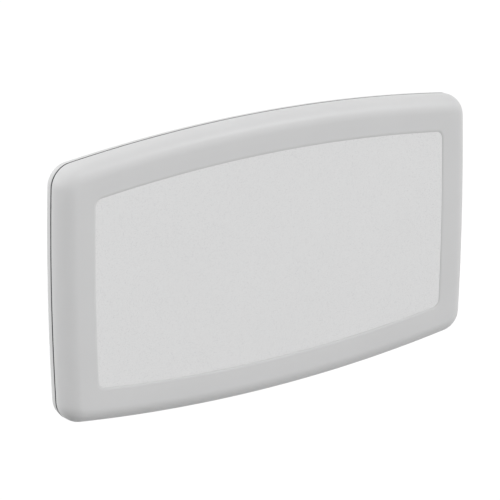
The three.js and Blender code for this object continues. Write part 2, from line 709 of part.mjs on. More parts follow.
// Wall: moulded housing with its flange round the bed's outline
function housingSeats() {
  const rows = [shelfZ + HOUSING_SCREW_RISE, chassisTop - HOUSING_SCREW_DROP];
  return [-1, 1].flatMap((side) => rows.map((z) => ({ x: side * (hingeHalf - HOUSING_SCREW_EDGE), z })));
}

function bumperSeats() {
  const topX = WIDTH / 2 - BUMPER_TOP_FROM_END;
  const lowX = WIDTH / 2 - BUMPER_LOW_FROM_END;
  return [-1, 1].flatMap((side) => [
    { x: side * topX, z: edgeHeight(topX) - BUMPER_INSET },
    { x: side * lowX, z: BUMPER_LOW_RISE - edgeHeight(lowX) },
  ]);
}

function wallHousing() {
  const wall = HOUSING_WALL;
  const flangeInside = flangeY + wall;
  const roundMiddle = FLANGE_ROUND * (1 - Math.SQRT1_2);
  const back = -GAP;
  const skin = loft([
    { inset: FIELD_INSET, corner: HOUSING_CORNER, y: fieldY },
    { inset: FIELD_INSET - FIELD_BEVEL, corner: HOUSING_CORNER + FIELD_BEVEL, y: flangeY },
    { inset: FLANGE_ROUND, corner: CORNER_RADIUS - FLANGE_ROUND, y: flangeY },
    { inset: roundMiddle, corner: CORNER_RADIUS - roundMiddle, y: flangeY + roundMiddle },
    { inset: 0, corner: CORNER_RADIUS, y: flangeY + FLANGE_ROUND },
    { inset: FLANGE_DRAFT, corner: CORNER_RADIUS - FLANGE_DRAFT, y: flangeBackY },
    { inset: FLANGE_DRAFT + wall, corner: CORNER_RADIUS - FLANGE_DRAFT - wall, y: flangeBackY },
    { inset: FLANGE_ROUND + wall, corner: CORNER_RADIUS - FLANGE_ROUND - wall, y: flangeInside },
    { inset: HOUSING_INSET, corner: HOUSING_CORNER, y: flangeInside },
    { inset: HOUSING_INSET + HOUSING_DRAFT, corner: HOUSING_CORNER, y: back },
    { inset: HOUSING_INSET + HOUSING_DRAFT + wall, corner: HOUSING_CORNER, y: back },
    { inset: HOUSING_INSET + wall, corner: HOUSING_CORNER, y: flangeInside },
    { inset: FIELD_INSET - FIELD_BEVEL - FIELD_STEP, corner: HOUSING_CORNER + FIELD_BEVEL, y: flangeInside },
    { inset: FIELD_INSET + FIELD_STEP, corner: HOUSING_CORNER, y: fieldBackY },
  ]);
  const seats = housingSeats();
  const bossSpan = [fieldBackY - OVERSHOOT, plateY - GAP];
  const bosses = seats.map(({ x, z }) => rodAlongY(HOUSING_BOSS_RADIUS, bossSpan, x, z));
  const lugs = [-1, 1].flatMap((side) => [-1, 1].map((end) => {
    const inner = side * LINER_X + end * (WINDOW_WIDTH / 2);
    const outer = inner + end * DOOR_LUG_WIDTH;
    const reach = DOOR_PIVOT_RADIUS + DOOR_LUG_WALL;
    return block(
      [Math.min(inner, outer), Math.max(inner, outer)],
      [fieldBackY - OVERSHOOT, doorPivotY + reach],
      [doorPivotZ - reach, doorPivotZ + reach],
    );
  }));
  const windows = [-1, 1].map((side) => extrudeY(
    roundedRectangle(side * LINER_X, linerZ, WINDOW_WIDTH, WINDOW_HEIGHT, WINDOW_CORNER),
    [flangeY - OVERSHOOT, fieldBackY + OVERSHOOT],
  ));
  const pivotHoles = [-1, 1].map((side) => {
    const half = WINDOW_WIDTH / 2 + DOOR_LUG_WIDTH - DOOR_LUG_CAP;
    const span = [side * LINER_X - half, side * LINER_X + half];
    return rodAlongX(DOOR_PIVOT_RADIUS + GAP, span, doorPivotY, doorPivotZ, SMALL_SIDES);
  });
  const screwHoles = seats.map(({ x, z }) => rodAlongY(
    HOUSING_SCREW_RADIUS + GAP, [flangeY - OVERSHOOT, OVERSHOOT], x, z, SMALL_SIDES,
  ));
  const bumperHoles = bumperSeats().map(({ x, z }) => rodAlongY(
    BUMPER_STEM + GAP, [flangeY - OVERSHOOT, fieldBackY], x, z, SMALL_SIDES,
  ));
  const stopZ = axisZ - PARTING_GAP / 2 + BED_STOP_GAP;
  const belowAxis = block([-WIDTH, WIDTH], [-DEPTH, DEPTH], [-HEIGHT, stopZ]);
  const leafNotch = block(
    [-hingeRoom, hingeRoom],
    [-DEPTH, lipY + LEAF_NOTCH_ROOM],
    [-HEIGHT, Math.max(axisZ + WALL_LEAF_HEIGHT, shelfZ + STEEL) + LEAF_NOTCH_ROOM],
  );
  const leverNotches = [-1, 1].map((side) => {
    const edges = [leverX - LEVER_NOTCH_ROOM, rodX + ROD_EYE_WIDTH / 2 + LEVER_NOTCH_ROOM].map((x) => side * x);
    return block(
      [Math.min(...edges), Math.max(...edges)],
      [-DEPTH, rodY + leverHalfWidth + leverTip / 2],
      [-HEIGHT, shelfZ - LEAF_NOTCH_ROOM],
    );
  });
  const shape = join(skin, [...bosses, ...lugs]);
  const holes = [...windows, ...pivotHoles, ...screwHoles, ...bumperHoles];
  return cut(shape, [...holes, belowAxis, leafNotch, ...leverNotches]);
}

// Wall: pocket for paper liners, open to the front, its middle at zero
function linerBin() {
  const halfX = WINDOW_WIDTH / 2 - BIN_CLEARANCE;
  const halfZ = WINDOW_HEIGHT / 2 - BIN_CLEARANCE;
  const front = doorPivotY + DOOR_BARREL_RADIUS + BIN_FRONT_GAP;
  const back = plateY - GAP;
  const outer = block([-halfX, halfX], [front, back], [-halfZ, halfZ]);
  const inner = block(
    [BIN_WALL - halfX, halfX - BIN_WALL],
    [front - OVERSHOOT, back - BIN_WALL],
    [BIN_WALL - halfZ, halfZ - BIN_WALL],
  );
  return cut(outer, [inner]);
}

// Wall: liner door with its dispensing slot, its pivot axis at zero
function linerDoor() {
  const width = WINDOW_WIDTH - 2 * DOOR_CLEARANCE;
  const height = WINDOW_HEIGHT - 2 * DOOR_CLEARANCE;
  const middle = linerZ - doorPivotZ;
  const sheet = roundedRectangle(0, middle, width, height, WINDOW_CORNER - DOOR_CLEARANCE);
  const slotRadius = DOOR_SLOT_HEIGHT / 2 - HAIR;
  sheet.holes.push(roundedRectangle(0, middle + DOOR_SLOT_RISE, DOOR_SLOT_WIDTH, DOOR_SLOT_HEIGHT, slotRadius));
  const front = fieldY - doorPivotY;
  const plate = extrudeY(sheet, [front, front + HOUSING_WALL]);
  const barrelHalf = width / 2 - WINDOW_CORNER;
  const barrel = rodAlongX(DOOR_BARREL_RADIUS, [-barrelHalf, barrelHalf], 0, 0, SMALL_SIDES);
  const pivotHalf = WINDOW_WIDTH / 2 + DOOR_LUG_WIDTH - DOOR_LUG_CAP - GAP;
  const pivot = rodAlongX(DOOR_PIVOT_RADIUS, [-pivotHalf, pivotHalf], 0, 0, SMALL_SIDES);
  const notchSpan = [front - OVERSHOOT, front + HOUSING_WALL + OVERSHOOT];
  const notch = rodAlongY(DOOR_NOTCH_RADIUS, notchSpan, 0, middle + height / 2);
  return cut(join(plate, [barrel, pivot]), [notch]);
}

// Wall: bag hook, its plate's back at zero
function bagHook() {
  const t = HOOK_THICKNESS;
  const low = -HOOK_PLATE / 2;
  const hook = new THREE.Shape();
  const inner = (HOOK_REACH - t) / 2;
  hook.moveTo(0, low);
  hook.lineTo(0, HOOK_PLATE / 2);
  hook.lineTo(-t, HOOK_PLATE / 2);
  hook.lineTo(-t, low + t + inner);
  hook.absarc(-t - inner, low + t + inner, inner, 0, -Math.PI, true);
  hook.lineTo(-t - 2 * inner, low + HOOK_TIP);
  hook.absarc(-1.5 * t - 2 * inner, low + HOOK_TIP, t / 2, 0, Math.PI);
  hook.lineTo(-2 * t - 2 * inner, low + t + inner);
  hook.absarc(-t - inner, low + t + inner, inner + t, Math.PI, 1.5 * Math.PI);
  return extrudeX(hook, [-HOOK_WIDTH / 2, HOOK_WIDTH / 2]);
}

// Wall: rubber bumper, its head's back at zero
function bumper() {
  const head = PARTING_GAP - 2 * GAP;
  return latheAlongY([
    [0, -head], [BUMPER_RADIUS - head / 2, -head], [BUMPER_RADIUS, -head / 2], [BUMPER_RADIUS, 0],
    [BUMPER_STEM, 0], [BUMPER_STEM, 2 * HOUSING_WALL], [0, 2 * HOUSING_WALL],
  ], SMALL_SIDES);
}

// Wall: housing screw, under its head at zero
function housingScrew() {
  const length = -fieldY;
  return latheAlongY([
    [0, -HOUSING_SCREW_CROWN], [HOUSING_SCREW_HEAD - HOUSING_SCREW_CROWN, -HOUSING_SCREW_CROWN],
    [HOUSING_SCREW_HEAD, -HOUSING_SCREW_CROWN / 3], [HOUSING_SCREW_HEAD, 0], [HOUSING_SCREW_RADIUS, 0],
    [HOUSING_SCREW_RADIUS, length - GAP], [0, length - GAP],
  ], SMALL_SIDES);
}

// Strap: a ribbon of even thickness along a path in (y, z)
function ribbon(path, thickness) {
  const normals = path.map((point, i) => {
    const before = path[Math.max(i - 1, 0)];
    const after = path[Math.min(i + 1, path.length - 1)];
    const way = after.clone().sub(before).normalize();
    return new THREE.Vector2(-way.y, way.x).multiplyScalar(thickness / 2);
  });
  const near = path.map((point, i) => point.clone().add(normals[i]));
  const far = path.map((point, i) => point.clone().sub(normals[i])).reverse();
  return extrudeX(new THREE.Shape([...near, ...far]), [-STRAP_WIDTH / 2, STRAP_WIDTH / 2]);
}

const strapLift = GAP + STRAP_THICKNESS / 2;
const buckleBaseY = trayFloorY + STRAP_THICKNESS + 3 * GAP;
const strapOverY = buckleBaseY + BUCKLE_WALL + strapLift;
const buckleTop = BUCKLE_Z + BUCKLE_LENGTH / 2;
const buckleLow = BUCKLE_Z - BUCKLE_LENGTH / 2;
const camY = strapOverY + STRAP_THICKNESS / 2 + GAP + CAM_RADIUS;

// Depth position of the tray's surface on the middle line, straight between its rings
function traySurface(z) {
  const share = THREE.MathUtils.clamp((HEIGHT / 2 - Math.abs(z) - TRAY_RIM) / TRAY_RUN, 0, 1) * TRAY_STEPS;
  const ring = Math.min(Math.floor(share), TRAY_STEPS - 1);
  const [from, to] = [ring, ring + 1].map((i) => trayStep(i / TRAY_STEPS).depth);
  return bedRimY - THREE.MathUtils.lerp(from, to, share - ring);
}

// Path over the tray between two heights, bending where the tray does
function overTray(start, end, lift) {
  const rings = Array.from({ length: TRAY_STEPS }, (_, i) => HEIGHT / 2 - trayStep((i + 1) / TRAY_STEPS).inset);
  const bends = [...rings, ...rings.map((z) => -z)].filter((z) => z < start && z > end);
  const heights = [start, ...bends.sort((a, b) => b - a), end];
  return heights.map((z) => new THREE.Vector2(traySurface(z) + lift, z));
}

// From under the upper anchor plate to the mouth of its slot
function strapEnd() {
  const way = new THREE.Vector2(-Math.sin(strapSlope), -Math.cos(strapSlope));
  const out = new THREE.Vector2(Math.cos(strapSlope), -Math.sin(strapSlope));
  const surface = new THREE.Vector2(bedRimY - strapSlotDepth, strapSlotZ);
  const under = TRAY_WALL + ANCHOR_THICKNESS + 3 * GAP + STRAP_THICKNESS / 2;
  const inside = surface.clone().addScaledVector(out, -under);
  const end = inside.clone().addScaledVector(way, -STRAP_TURN);
  const mouth = surface.clone().addScaledVector(out, strapLift + GAP);
  return [end, inside, mouth];
}

const strapMouthZ = strapSlotZ - STRAP_SLOT;
const strapRideY = strapLift + GAP / 2;

function strapUpper() {
  const tailLift = strapRideY + STRAP_THICKNESS + GAP;
  return ribbon([
    ...strapEnd(),
    ...overTray(strapMouthZ, buckleTop + STRAP_RAMP, strapRideY),
    new THREE.Vector2(strapOverY, buckleTop + STRAP_THICKNESS),
    new THREE.Vector2(strapOverY, buckleLow - STRAP_THICKNESS),
    ...overTray(buckleLow - STRAP_RAMP, buckleLow - STRAP_TAIL, tailLift),
  ], STRAP_THICKNESS);
}

function strapLower() {
  const lower = strapEnd().map((point) => new THREE.Vector2(point.x, -point.y));
  return ribbon([
    ...overTray(buckleTop - BUCKLE_LENGTH / 4, -strapMouthZ, strapLift),
    ...lower.reverse(),
  ], STRAP_THICKNESS);
}

// Strap: plate behind the tray that the strap's end turns round, slot centre at zero
function strapAnchor() {
  const half = STRAP_WIDTH / 2 + STRAP_SIDE_PLAY;
  const plate = block(
    [-ANCHOR_LENGTH / 2, ANCHOR_LENGTH / 2],
    [-ANCHOR_THICKNESS, 0],
    [-ANCHOR_HEIGHT / 2, ANCHOR_HEIGHT / 2],
  );
  const slot = block([-half, half], [-2 * ANCHOR_THICKNESS, OVERSHOOT], [-STRAP_SLOT / 2, STRAP_SLOT / 2]);
  return cut(plate, [slot]);
}

// Buckle: base and two cheeks that hold the cam's pin
function buckleFrame() {
  const inner = STRAP_WIDTH / 2 + BUCKLE_SIDE_PLAY;
  const outer = inner + BUCKLE_WALL;
  const top = buckleBaseY + BUCKLE_WALL + BUCKLE_CHEEK;
  const body = block([-outer, outer], [buckleBaseY, top], [buckleLow, buckleTop]);
  const room = block(
    [-inner, inner],
    [buckleBaseY + BUCKLE_WALL, top + OVERSHOOT],
    [buckleLow - OVERSHOOT, buckleTop + OVERSHOOT],
  );
  const hole = rodAlongX(BUCKLE_PIN_RADIUS + GAP, [-2 * outer, 2 * outer], camY, BUCKLE_Z, SMALL_SIDES);
  return cut(body, [room, hole]);
}

function bucklePin() {
  const reach = STRAP_WIDTH / 2 + BUCKLE_SIDE_PLAY + BUCKLE_WALL + GAP;
  const shaft = rodAlongX(BUCKLE_PIN_RADIUS, [-reach, reach], camY, BUCKLE_Z, SMALL_SIDES);
  const heads = [-1, 1].map((side) => {
    const ends = [side * reach, side * (reach + BUCKLE_PIN_HEAD)];
    const span = [Math.min(...ends), Math.max(...ends)];
    return rodAlongX(BUCKLE_PIN_RADIUS + BUCKLE_PIN_HEAD, span, camY, BUCKLE_Z, SMALL_SIDES);
  });
  return join(shaft, heads);
}

// Buckle: cam with its thumb lever, pin axis at zero
function buckleCam() {
  const half = STRAP_WIDTH / 2;
  const barrel = rodAlongX(CAM_RADIUS, [-half, half], 0, 0);
  const lever = new THREE.Shape();
  const rise = CAM_RADIUS - CAM_LEVER_THICKNESS;
  lever.moveTo(rise, 0);
  lever.lineTo(rise, CAM_TIP_LENGTH - CAM_LEVER_LENGTH);
  lever.lineTo(rise + CAM_TIP_RISE, -CAM_LEVER_LENGTH);
  lever.lineTo(CAM_RADIUS + CAM_TIP_RISE, -CAM_LEVER_LENGTH);
  lever.lineTo(CAM_RADIUS, CAM_TIP_LENGTH - CAM_LEVER_LENGTH);
  lever.lineTo(CAM_RADIUS, 0);
  const bore = rodAlongX(BUCKLE_PIN_RADIUS + GAP, [-WIDTH, WIDTH], 0, 0, SMALL_SIDES);
  return cut(join(barrel, [extrudeX(lever, [-half, half])]), [bore]);
}

// Materials
const finishes = {
  greyPlastic: { color: 0xb9babd, roughness: 0.55, metalness: 0 },
  speckledPlastic: { color: 0xcfd0d2, roughness: 0.6, metalness: 0 },
  palePlastic: { color: 0xc9cacd, roughness: 0.5, metalness: 0 },
  darkPlastic: { color: 0x2b2c2e, roughness: 0.5, metalness: 0 },
  steel: { color: 0x9fa2a6, roughness: 0.4, metalness: 0.9 },
  blackSteel: { color: 0x232427, roughness: 0.45, metalness: 0.6 },
  chrome: { color: 0xd6d8da, roughness: 0.15, metalness: 1 },
  rubber: { color: 0x1d1d1f, roughness: 0.9, metalness: 0 },
  webbing: { color: 0x26282b, roughness: 0.95, metalness: 0 },
};

function piece(name, geometry, finish, place = [0, 0, 0]) {
  const mesh = new THREE.Mesh(geometry, new THREE.MeshStandardMaterial(finishes[finish]));
  mesh.name = name;
  mesh.position.set(...place);
  return mesh;
}

const sides = [['left', -1], ['right', 1]];

function springGroup([name, side]) {
  const group = new THREE.Group();
  group.position.set(side * rodX, rodY, 0);
  group.add(
    piece(`gas_cylinder_${name}`, gasCylinder(), 'blackSteel', [0, 0, cylinderBottom]),
    piece(`gas_rod_${name}`, gasRod(side), 'chrome', [0, 0, crossPinZ]),
    piece(`spring_bracket_${name}`, springBracket(), 'steel', [0, 0, topPinZ]),
    piece(`spring_pin_${name}`, springPin(side), 'steel', [0, 0, topPinZ]),
  );
  return group;
}

function linerGroup([name, side]) {
  const group = new THREE.Group();
  group.position.set(side * LINER_X, 0, 0);
  group.add(
    piece(`liner_bin_${name}`, linerBin(), 'palePlastic', [0, 0, linerZ]),
    piece(`liner_door_${name}`, linerDoor(), 'palePlastic', [0, doorPivotY, doorPivotZ]),
  );
  return group;
}

function wallUnit() {
  const group = new THREE.Group();
  group.add(
    piece('mounting_chassis', chassis(), 'steel'),
    piece('wall_housing', wallHousing(), 'greyPlastic'),
    piece('hinge_wall_leaf', hingeWallLeaf(), 'steel'),
    piece('hinge_pin', hingePin(), 'steel'),
    ...sides.map(springGroup),
    ...sides.map(linerGroup),
    ...sides.map(([name, side]) => (
      piece(`bag_hook_${name}`, bagHook(), 'palePlastic', [side * hookX, fieldY - GAP, HOOK_Z])
    )),
    ...bumperSeats().map(({ x, z }, i) => piece(`bumper_${i + 1}`, bumper(), 'rubber', [x, flangeY - GAP, z])),
    ...housingSeats().map(({ x, z }, i) => (
      piece(`housing_screw_${i + 1}`, housingScrew(), 'steel', [x, fieldY - GAP, z])
    )),
  );
  return group;
}

function anchorPiece(name, side) {
  const slotY = bedRimY - strapSlotDepth - (TRAY_WALL + GAP) / Math.cos(strapSlope);
  const anchor = piece(name, strapAnchor(), 'steel', [0, slotY, side * strapSlotZ]);
  anchor.rotation.x = -side * strapSlope;
  return anchor;
}

function bed() {
  const group = new THREE.Group();
  group.add(
    piece('bed_outer_shell', bedOuterShell(), 'greyPlastic'),
    piece('front_panel', frontPanel(), 'speckledPlastic'),
    piece('bed_tray', bedTray(), 'palePlastic'),
    piece('bed_channel', bedChannel(), 'steel'),
    piece('hinge_bed_leaf', hingeBedLeaf(), 'steel'),
    ...sides.map(([name, side]) => (
      piece(`lift_lever_${name}`, liftLever(), 'steel', [side * leverX, axisY, axisZ])
    )),
    anchorPiece('strap_anchor_upper', 1),
    anchorPiece('strap_anchor_lower', -1),
    piece('strap_upper', strapUpper(), 'webbing'),
    piece('strap_lower', strapLower(), 'webbing'),
    piece('buckle_frame', buckleFrame(), 'darkPlastic'),
    piece('buckle_pin', bucklePin(), 'steel'),
    piece('buckle_cam', buckleCam(), 'darkPlastic', [0, camY, BUCKLE_Z]),
    ...traySeats().map(({ x, z }, i) => piece(`tray_screw_${i + 1}`, trayScrew(), 'steel', [x, bedRimY, z])),
  );
  return group;
}

const station = new THREE.Group();
station.add(wallUnit(), bed());

export default station;
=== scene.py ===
import math

import bmesh
import bpy
from mathutils import Matrix, Vector


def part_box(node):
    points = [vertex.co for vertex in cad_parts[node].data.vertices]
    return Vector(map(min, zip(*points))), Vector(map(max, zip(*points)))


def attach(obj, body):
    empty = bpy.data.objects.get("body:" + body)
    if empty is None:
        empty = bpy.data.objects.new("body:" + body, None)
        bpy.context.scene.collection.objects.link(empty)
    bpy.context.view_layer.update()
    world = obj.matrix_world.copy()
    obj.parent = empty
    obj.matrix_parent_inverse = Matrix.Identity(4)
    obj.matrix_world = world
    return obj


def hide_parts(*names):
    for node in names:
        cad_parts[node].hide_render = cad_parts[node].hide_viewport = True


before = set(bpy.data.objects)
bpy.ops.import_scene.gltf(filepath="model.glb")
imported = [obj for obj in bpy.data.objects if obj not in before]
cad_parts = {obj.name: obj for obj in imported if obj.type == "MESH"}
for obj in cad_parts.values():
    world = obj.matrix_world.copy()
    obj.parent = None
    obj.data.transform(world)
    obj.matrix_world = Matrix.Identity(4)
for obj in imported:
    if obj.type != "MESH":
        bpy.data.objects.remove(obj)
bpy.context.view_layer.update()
scene = bpy.context.scene
scene.view_settings.view_transform = "Standard"
print("frame loaded with", len(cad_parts), "nodes")

# places that several pieces share, in metres
station = {
    "width": 0.940, "height": 0.537, "edgeBow": 0.033, "sideBow": 0.0075, "corner": 0.044,
    "frontY": -0.102, "rimY": -0.063, "flangeY": -0.0608, "fieldY": -0.0588, "plateY": -0.003,
    "sideSteps": 14, "cornerSteps": 14, "edgeSteps": 32, "gap": 0.0003,
}
gap = station["gap"]


# modelling by hand, in small steps
def deselectAll():
    bpy.ops.object.select_all(action="DESELECT")


def activate(piece):
    deselectAll()
    piece.select_set(True)
    bpy.context.view_layer.objects.active = piece


def selectRings(piece, levels):
    bpy.ops.mesh.select_all(action="DESELECT")
    mesh = bmesh.from_edit_mesh(piece.data)
    level = mesh.verts.layers.int["level"]
    for vert in mesh.verts:
        if vert[level] in levels:
            vert.select_set(True)
    mesh.select_flush(True)
    bmesh.update_edit_mesh(piece.data)


# a circle laid on the first ring and extruded ring by ring
def ringLoft(name, rings, close="caps", keepLevel=False):
    deselectAll()
    bpy.ops.mesh.primitive_circle_add(vertices=len(rings[0]))
    piece = bpy.context.object
    piece.name = name
    piece.data.name = name
    bpy.ops.object.mode_set(mode="EDIT")
    mesh = bmesh.from_edit_mesh(piece.data)
    place = mesh.verts.layers.int.new("place")
    level = mesh.verts.layers.int.new("level")
    mesh.verts.ensure_lookup_table()
    for index, point in enumerate(rings[0]):
        mesh.verts[index].co = point
        mesh.verts[index][place] = index
    bmesh.update_edit_mesh(piece.data)
    for number, ring in enumerate(rings[1:], 1):
        bpy.ops.mesh.extrude_edges_move()
        mesh = bmesh.from_edit_mesh(piece.data)
        place = mesh.verts.layers.int["place"]
        level = mesh.verts.layers.int["level"]
        for vert in mesh.verts:
            if vert.select:
                vert.co = ring[vert[place]]
                vert[level] = number
        bmesh.update_edit_mesh(piece.data)
    if close == "caps":
        bpy.ops.mesh.edge_face_add()
        selectRings(piece, (0,))
        bpy.ops.mesh.edge_face_add()
    else:
        selectRings(piece, (0, len(rings) - 1))
        bpy.ops.mesh.bridge_edge_loops()
    bpy.ops.mesh.select_all(action="SELECT")
    bpy.ops.mesh.normals_make_consistent(inside=False)
    bpy.ops.object.mode_set(mode="OBJECT")
    for layer in ("place",) if keepLevel else ("place", "level"):
        piece.data.attributes.remove(piece.data.attributes[layer])
    return piece


# an outline drawn square to one axis and pulled along it
def pulled(name, points, axis, low, high):
    lay = {
        "x": lambda a, b, level: (level, a, b),
        "y": lambda a, b, level: (a, level, b),
        "z": lambda a, b, level: (a, b, level),
    }[axis]
    return ringLoft(name, [[lay(a, b, level) for a, b in points] for level in (low, high)])


# a profile of (radius, level) turned round one axis through a point
def turned(name, axis, centre, profile, sides=32, close="caps"):
    rings = []
    for radius, level in profile:
        ring = []
        for index in range(sides):
            angle = 2 * math.pi * index / sides
            a = radius * math.cos(angle)
            b = radius * math.sin(angle)
            offset = {"x": (level, a, b), "y": (a, level, b), "z": (a, b, level)}[axis]
            ring.append(Vector(centre) + Vector(offset))
        rings.append(ring)
    return ringLoft(name, rings, close)


def block(name, low, high):
    deselectAll()
    middle = (Vector(low) + Vector(high)) / 2
    bpy.ops.mesh.primitive_cube_add(size=1, location=middle, scale=Vector(high) - Vector(low))
    bpy.ops.object.transform_apply(location=True, rotation=True, scale=True)
    piece = bpy.context.object
    piece.name = name
    piece.data.name = name
    return piece


def merge(piece, tools, operation):
    for tool in tools:
        activate(piece)
        bpy.ops.object.modifier_add(type="BOOLEAN")
        modifier = piece.modifiers[-1]
        modifier.operation = operation
        modifier.solver = "EXACT"
        modifier.object = tool
        bpy.ops.object.modifier_apply(modifier=modifier.name)
        bpy.data.objects.remove(tool, do_unlink=True)
    return piece


def carve(piece, *tools):
    return merge(piece, tools, "DIFFERENCE")


def weld(piece, *tools):
    return merge(piece, tools, "UNION")


def softenEdges(piece, width, segments=2, angle=40):
    activate(piece)
    bpy.ops.object.modifier_add(type="BEVEL")
    modifier = piece.modifiers[-1]
    modifier.width = width
    modifier.segments = segments
    modifier.limit_method = "ANGLE"
    modifier.angle_limit = math.radians(angle)
    bpy.ops.object.modifier_apply(modifier=modifier.name)
    return piece


def copied(piece, name, offset=(0, 0, 0), mirror=False):
    twin = piece.copy()
    twin.data = piece.data.copy()
    twin.name = name
    twin.data.name = name
    scene.collection.objects.link(twin)
    if mirror:
        twin.data.transform(Matrix.Diagonal((-1, 1, 1, 1)))
        twin.data.flip_normals()
    twin.data.transform(Matrix.Translation(offset))
    return twin


def dress(piece, body, slot, *nodes, smooth=35):
    activate(piece)
    bpy.ops.object.mode_set(mode="EDIT")
    bpy.ops.mesh.select_all(action="SELECT")
    bpy.ops.mesh.dissolve_degenerate(threshold=0.000002)
    bpy.ops.object.mode_set(mode="OBJECT")
    bpy.ops.object.shade_smooth_by_angle(angle=math.radians(smooth))
    piece.data.materials.clear()
    piece.data.materials.append(finishes[slot])
    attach(piece, body)
    if nodes:
        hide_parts(*nodes)
    return piece


def arc(centreA, centreB, radius, start, end, steps):
    angles = [start + (end - start) * i / steps for i in range(steps)]
    return [(centreA + radius * math.cos(t), centreB + radius * math.sin(t)) for t in angles]


def roundedBox(centreA, centreB, width, height, radius, steps=8):
    a = width / 2 - radius
    b = height / 2 - radius
    quarter = math.pi / 2
    points = []
    for turn, (signA, signB) in enumerate(((1, 1), (-1, 1), (-1, -1), (1, -1))):
        points += arc(centreA + signA * a, centreB + signB * b, radius,
                      turn * quarter, (turn + 1) * quarter, steps)
        points.append((centreA + signA * a + radius * math.cos((turn + 1) * quarter),
                       centreB + signB * b + radius * math.sin((turn + 1) * quarter)))
    return points


# the bowed outline: four large arcs joined by round corners
def bowRadius(span, bow):
    return (span * span / 4 + bow * bow) / (2 * bow)


edgeRadius = bowRadius(station["width"], station["edgeBow"])
sideRadius = bowRadius(station["height"], station["sideBow"])


def edgeHeight(x):
    return station["height"] / 2 - edgeRadius + math.sqrt(edgeRadius ** 2 - x ** 2)


def outlineRing(inset, corner):
    edgeZ = station["height"] / 2 - edgeRadius
    sideX = station["width"] / 2 - sideRadius
    edge = edgeRadius - inset - corner
    side = sideRadius - inset - corner
    between = math.hypot(sideX, edgeZ)
    along = (edge ** 2 - side ** 2 + between ** 2) / (2 * between)
    across = math.sqrt(edge ** 2 - along ** 2)
    unitX, unitZ = sideX / between, -edgeZ / between
    pivotX = along * unitX + across * unitZ
    pivotZ = edgeZ + along * unitZ - across * unitX
    sideAngle = math.atan2(pivotZ, pivotX - sideX)
    edgeAngle = math.atan2(pivotZ - edgeZ, pivotX)
    quarter = arc(sideX, 0, side + corner, 0, sideAngle, station["sideSteps"])
    quarter += arc(pivotX, pivotZ, corner, sideAngle, edgeAngle, station["cornerSteps"])
    quarter += arc(0, edgeZ, edge + corner, edgeAngle, math.pi / 2, station["edgeSteps"])
    upper = quarter + [(0, station["height"] / 2 - inset)]
    upper += [(-x, z) for x, z in reversed(quarter[1:])] + [(inset - station["width"] / 2, 0)]
    return upper + [(x, -z) for x, z in reversed(upper[1:-1])]


def shellLoft(name, rings):
    return ringLoft(name, [[(x, y, z) for x, z in outlineRing(inset, corner)] for inset, corner, y in rings])


# finishes
def addNode(tree, kind, values=None, **settings):
    made = tree.nodes.new(kind)
    for key, value in settings.items():
        setattr(made, key, value)
    for key, value in (values or {}).items():
        made.inputs[key].default_value = value
    return made


def startFinish(name, metallic=0.0, specular=0.5):
    material = bpy.data.materials.new(name)
    material.use_nodes = True
    tree = material.node_tree
    shader = tree.nodes["Principled BSDF"]
    shader.inputs["Metallic"].default_value = metallic
    shader.inputs["Specular IOR Level"].default_value = specular
    where = addNode(tree, "ShaderNodeTexCoord")
    return material, tree, shader, where


def addNoise(tree, where, scale, detail=2.0, stretch=None):
    source = where.outputs["Object"]
    if stretch:
        mapping = addNode(tree, "ShaderNodeMapping", {"Scale": stretch})
        tree.links.new(source, mapping.inputs["Vector"])
        source = mapping.outputs["Vector"]
    noise = addNode(tree, "ShaderNodeTexNoise", {"Scale": scale, "Detail": detail})
    tree.links.new(source, noise.inputs["Vector"])
    return noise.outputs["Fac"]


def addRamp(tree, source, stops, interpolation="LINEAR"):
    ramp = addNode(tree, "ShaderNodeValToRGB")
    ramp.color_ramp.interpolation = interpolation
    elements = ramp.color_ramp.elements
    while len(elements) < len(stops):
        elements.new(0.5)
    for element, (position, colour) in zip(elements, stops):
        element.position = position
        element.color = (*colour, 1.0)
    tree.links.new(source, ramp.inputs["Fac"])
    return ramp.outputs["Color"]


def addRange(tree, source, low, high):
    spread = addNode(tree, "ShaderNodeMapRange", {"To Min": low, "To Max": high})
    tree.links.new(source, spread.inputs["Value"])
    return spread.outputs["Result"]


def addBump(tree, shader, source, strength, distance):
    bump = addNode(tree, "ShaderNodeBump", {"Strength": strength, "Distance": distance})
    tree.links.new(source, bump.inputs["Height"])
    tree.links.new(bump.outputs["Normal"], shader.inputs["Normal"])
    return bump


def shade(colour, factor):
    return tuple(min(1.0, part * factor) for part in colour)


# moulded plastic: faint clouding, fine spark texture, uneven gloss
def mouldedPlastic(name, colour, roughness, grain=1300.0, clouding=0.012, depth=0.00012):
    material, tree, shader, where = startFinish(name)
    cloud = addNoise(tree, where, 7.0, 3.0)
    tone = addRamp(tree, cloud, [(0.3, shade(colour, 1 - clouding)), (0.7, shade(colour, 1 + clouding))])
    tree.links.new(tone, shader.inputs["Base Color"])
    gloss = addRange(tree, addNoise(tree, where, 160.0), roughness - 0.05, roughness + 0.05)
    tree.links.new(gloss, shader.inputs["Roughness"])
    addBump(tree, shader, addNoise(tree, where, grain, 1.0), 0.12, depth)
    return material


